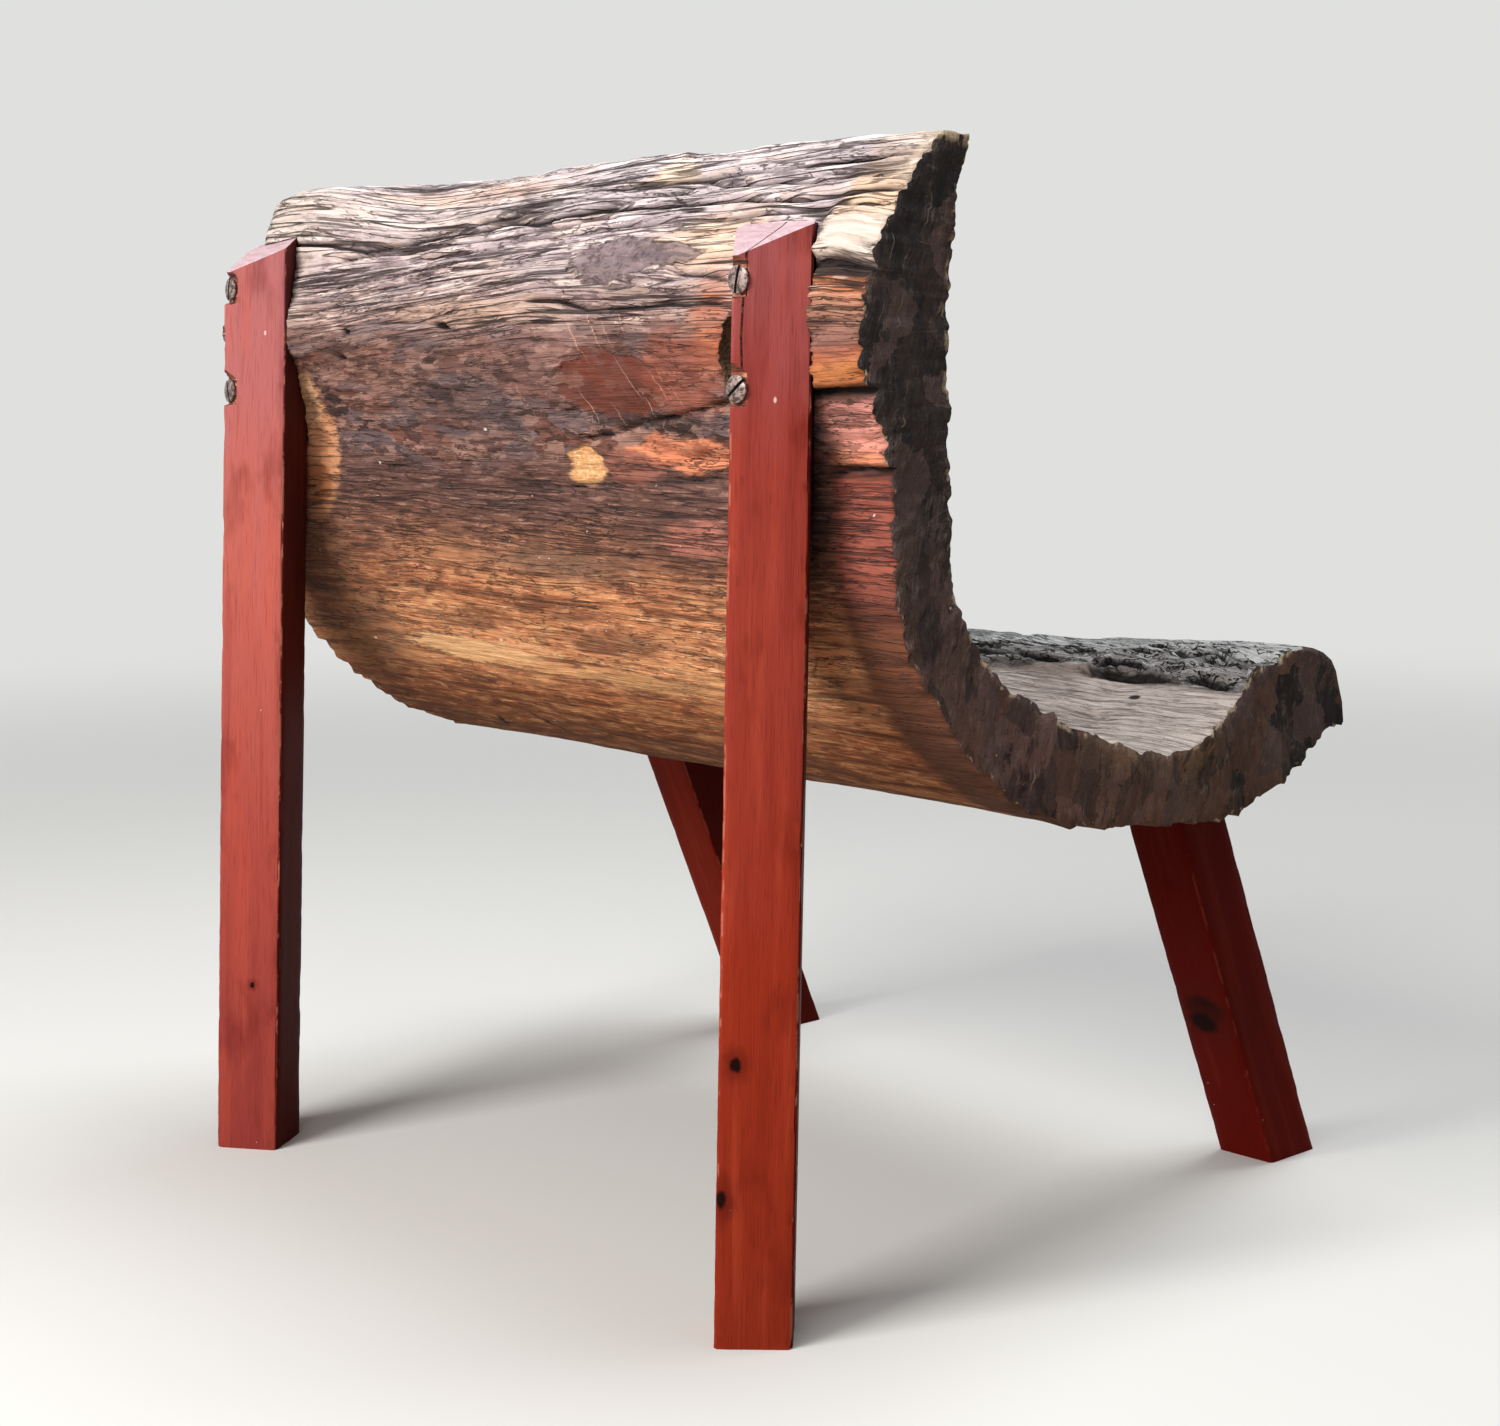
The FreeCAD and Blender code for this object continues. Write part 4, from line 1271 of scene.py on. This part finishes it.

# %% [markdown]
# The bars carry a red mahogany stain under varnish. It is thinner along the knocked edges, where pale
# wood shows, and the stain is darker in the soft bands of the grain and round the knots. The colours up
# each bar also hold painted light: a pink sheen at the post tops, the left post lighter than the right,
# and the right leg darker as painted shade under the seat. The face turned from the lamp is painted
# dark as shade.

# %% Finish of the bars
stain_span = 520
bar_looks = {
    "back_post_right": {
        # Paler and pinker towards the top: a painted sheen, and painted light falling off towards the
        # floor.
        "stain": [(0, (132, 43, 25)), (170, (142, 46, 28)), (300, (143, 55, 44)),
                  (400, (145, 57, 48)), (500, (152, 80, 81))],
        "banded": 0.20, "painted_shade_share": 0.85, "worn": 0.40,
        "knots": [((-5.4, 20, 130.5), (2.6, 2.6, 3.2)), ((-1.4, 24.1, 68.4), (2.4, 2.4, 4.6))],
        "chalk": [((-14.1, 11.4, 426.5), (0.7, 0.7, 1.3))],
    },
    "back_post_left": {
        # Lighter than the right post's stain as painted light, with a painted pink sheen at the top.
        "stain": [(0, (136, 55, 50)), (170, (159, 70, 62)), (330, (178, 93, 84)), (500, (168, 102, 104))],
        "banded": 0.20, "painted_shade_share": 0.85, "worn": 0.45,
        "knots": [((-14.5, 11, 94.2), (1.3, 1.3, 1.3))],
        "chalk": [((-17.2, 8.3, 457), (0.7, 0.7, 1.2))],
    },
    "front_leg_right": {
        # Much darker than the left leg's stain: painted shade under the seat.
        "stain": [(0, (100, 19, 12)), (90, (88, 15, 10)), (180, (88, 15, 10)), (250, (86, 16, 10))],
        "banded": 0.06, "painted_shade_share": 0.15, "worn": 0.08,
        "knots": [((-12.7, 12.7, 106), (12, 12, 8)), ((-10.5, 15, 97), (9, 9, 6))],
        "chalk": [],
    },
    "front_leg_left": {
        "stain": [(0, (138, 40, 24)), (90, (136, 40, 24)), (180, (134, 38, 23)), (250, (118, 32, 20))],
        "banded": 0.12, "painted_shade_share": 0.85, "worn": 0.20,
        "knots": [], "chalk": [],
    },
}


def stained_bar(name, shift):
    """Stained and varnished hardwood with worn edges, knots, specks, a painted sheen and painted shade."""
    material, start, shader = new_finish(name + "_stain")
    looks = bar_looks[name]
    grain = kept_value(start, "grain", "Vector")
    arris = kept_value(start, "arris")
    place = grain.vector("ADD", (shift, shift, 7 * shift))
    pores = place.noise((0.8, 0.8, 18), 3, 0.6)
    bands = place.noise((8, 8, 130), 2, 0.5)
    cloud = place.noise((26, 26, 60), 3, 0.6)
    # The ramp up the bar is the stain with painted light and shade in it, as the table gives them.
    up = (grain.parts()[2] + 120 * (cloud - 0.5)) / stain_span
    colour = up.ramp([(height / stain_span, paint(*shade)) for height, shade in looks["stain"]])
    colour = layered(colour, [
        (bands.rise(0.52, 0.68) * looks["banded"], (196, 84, 58)),
        (bands.rise(0.48, 0.32) * looks["banded"], (92, 22, 16)),
        (cloud.rise(0.47, 0.30) * 0.35, (88, 20, 18)),
        (pores.rise(0.47, 0.36) * 0.22, (74, 18, 13)),
    ])
    for centre, half in looks["knots"]:
        wobble = place.noise((4, 4, 6), 2, 0.5, "Color").vector("SUBTRACT", (0.5, 0.5, 0.5))
        moved = grain.vector("ADD", wobble.vector("MULTIPLY", (3, 3, 4)))
        round_it = tuple(2.4 * h for h in half)
        colour = layered(colour, [
            (moved.spot(centre, round_it, 0.6) * 0.5, (80, 20, 14)),
            (moved.spot(centre, half, 0.35), (28, 12, 10)),
        ])
    left_right, back_front = grain.parts()[:2]
    # The face turned from the lamp is painted dark: painted shade on that side of the bar.
    side_in_painted_shade = (left_right + back_front).rise(-23.5, -25.2)
    worn = arris.rise(0.35, 0.8) * place.noise((9, 9, 16), 3, 0.65).rise(0.51, 0.60)
    specks = place.dots((5, 5, 5), 0.08, 0.02)
    for centre, half in looks["chalk"]:
        specks = specks + 0.8 * grain.spot(centre, half, 0.5)
    colour = layered(colour, [
        (looks["painted_shade_share"] * side_in_painted_shade, (58, 13, 11)),
        (looks["worn"] * worn, (206, 132, 112)),
        (0.8 * specks.rise(0, 1), (232, 206, 196)),
    ])
    rough = 0.46 + 0.25 * worn + 0.22 * (pores - 0.5) + 0.16 * (cloud - 0.5)
    dress(start, shader, colour, rough, 0.35 * pores + 0.25 * bands, 0.5)
    shader.inputs["Specular IOR Level"].default_value = 0.02
    return material


def bar_end_grain(name):
    """Sawn end of a bar, with pores on end: pale lilac pink, partly wood, partly a painted sky reflection.
    """
    material, start, shader = new_finish(name)
    place = kept_value(start, "grain", "Vector")
    pores = place.noise((1.1, 1.1, 3), 3, 0.6)
    rings = place.noise((14, 3, 30), 3, 0.6)
    colour = rings.rise(0.30, 0.70).tint(paint(172, 142, 147), paint(194, 168, 175))
    colour = (pores.rise(0.46, 0.36) * 0.45).tint(colour, paint(158, 100, 98))
    dress(start, shader, colour, 0.55 + 0.2 * pores, 0.6 * pores, 0.6)
    return material


bar_end_finish = bar_end_grain("bar_end_grain")
notch_finish = chopped_wood("notched_bar", (58, 22, 16), (128, 66, 46), (206, 150, 116))
bars = [posts["right"], posts["left"], legs["right"], legs["left"]]
for number, (name, bar) in enumerate(zip(bar_looks, bars)):
    wear(bar, stained_bar(name, 37.0 * number), bar_end_finish, notch_finish)
print("bars:", [bar.data.materials[0].name for bar in bars])

# %% [markdown]
# The screws are plain steel that has dulled. Their slots are painted near black as shade, and the
# rims are rubbed bright.

# %% Finish of the screws
def dull_steel(name):
    """Old steel, bright where it is rubbed and brown where it is not."""
    material, start, shader = new_finish(name)
    place = in_millimetres(start)
    stain = place.noise((2.2, 2.2, 2.2), 3, 0.6)
    brushed = place.noise((6, 0.5, 0.5), 2)
    colour = stain.rise(0.40, 0.58).tint(paint(78, 62, 56), paint(158, 138, 134))
    colour = (brushed.rise(0.55, 0.68) * 0.5).tint(colour, paint(196, 180, 176))
    dress(start, shader, colour, 0.70 - 0.3 * stain, 0.3 * stain + 0.2 * brushed, 0.5)
    shader.inputs["Metallic"].default_value = 0.75
    return material


steel = dull_steel("dull_steel")
# The slot faces are painted near black: painted shade in the slots.
painted_slot_shade = chopped_wood("painted_slot_shade", (18, 14, 12), (34, 27, 24), (62, 52, 46))
for screw in screws.values():
    wear(screw, steel, steel, painted_slot_shade)
print(len(screws), "screws wear", steel.name)

# %% [markdown]
# The chair stands on a plain pale floor. One large soft lamp to the left of the camera lights the back,
# as the daylight does in the photograph. A weak one beside the camera and one above the seat soften the
# shadows, and the world fills them a little. The backdrop is pale to the camera alone, so that it does
# not flatten the light on the chair.

# %% Floor, light and world
pale = paint(224, 225, 223)
floor_radius = 7.0
floor_fade = (0.75, 2.6)

floor_mesh = bpy.data.meshes.new("floor")
bm = bmesh.new()
bmesh.ops.create_circle(bm, cap_ends=True, segments=96, radius=floor_radius)
bm.to_mesh(floor_mesh)
bm.free()
put_in("floor", floor_mesh)


def seen_rays(start):
    """1 for rays from the camera, and for the reflections and refractions that it sees."""
    kinds = ("Is Camera Ray", "Is Glossy Ray", "Is Transmission Ray")
    camera_ray, glossy_ray, clear_ray = [start.node("LightPath", {}, {}, ray) for ray in kinds]
    return start.sum("MAXIMUM", start.sum("MAXIMUM", camera_ray, glossy_ray), clear_ray)


def pale_floor(name):
    """A pale floor near the chair, where its shadow falls, that runs out into the backdrop."""
    material, start, shader = new_finish(name)
    shader.inputs["Base Color"].default_value = paint(214, 213, 210)
    shader.inputs["Roughness"].default_value = 0.9
    shader.inputs["Specular IOR Level"].default_value = 0.1
    near = Socket(start.tree, shader.outputs[0])
    far = start.node("Emission", {}, {"Color": pale, "Strength": 1.0})
    dim = start.node("BsdfDiffuse", {}, {"Color": paint(162, 148, 132)})
    place = start.node("TexCoord", {}, {}, "Object")
    away = place.node("VectorMath", {"operation": "LENGTH"}, {0: place}, "Value").rise(*floor_fade)
    shown = start.node("MixShader", {}, {0: away, 1: near, 2: far})
    both = start.node("MixShader", {}, {0: seen_rays(start), 1: dim, 2: shown})
    start.tree.links.new(both.port, start.tree.nodes["Material Output"].inputs["Surface"])
    return material


floor_mesh.materials.append(pale_floor("pale_floor"))
scene = bpy.context.scene
scene.view_settings.view_transform = "Standard"


def soft_lamp(name, place, target, size, power, colour):
    """A square soft box that looks at a point."""
    lamp = bpy.data.lights.new(name, "AREA")
    lamp.size = size
    lamp.energy = power
    lamp.color = colour
    made = put_in(name, lamp)
    made.location = place
    made.rotation_euler = (Vector(target) - Vector(place)).to_track_quat("-Z", "Y").to_euler()


soft_lamp("key_light", (0.05, 2.2, 1.65), (0, 0, 0.3), 1.1, 74, (1, 0.98, 0.95))
soft_lamp("front_light", (-1.1, 1.9, 1.1), (0, 0, 0.25), 1.2, 16, (1, 0.97, 0.94))
soft_lamp("top_light", (-0.2, -0.7, 2.4), (0, -0.05, 0.2), 1.4, 42, (0.96, 0.98, 1))
world = bpy.data.worlds.new("studio")
scene.world = world
world.use_nodes = True
air = Socket(world.node_tree)
fill = air.node("Background", {}, {"Color": (0.92, 0.96, 1, 1), "Strength": 0.16})
shown = air.node("Background", {}, {"Color": pale, "Strength": 1.0})
both = air.node("MixShader", {}, {0: seen_rays(air), 1: fill, 2: shown})
world.node_tree.links.new(both.port, world.node_tree.nodes["World Output"].inputs["Surface"])
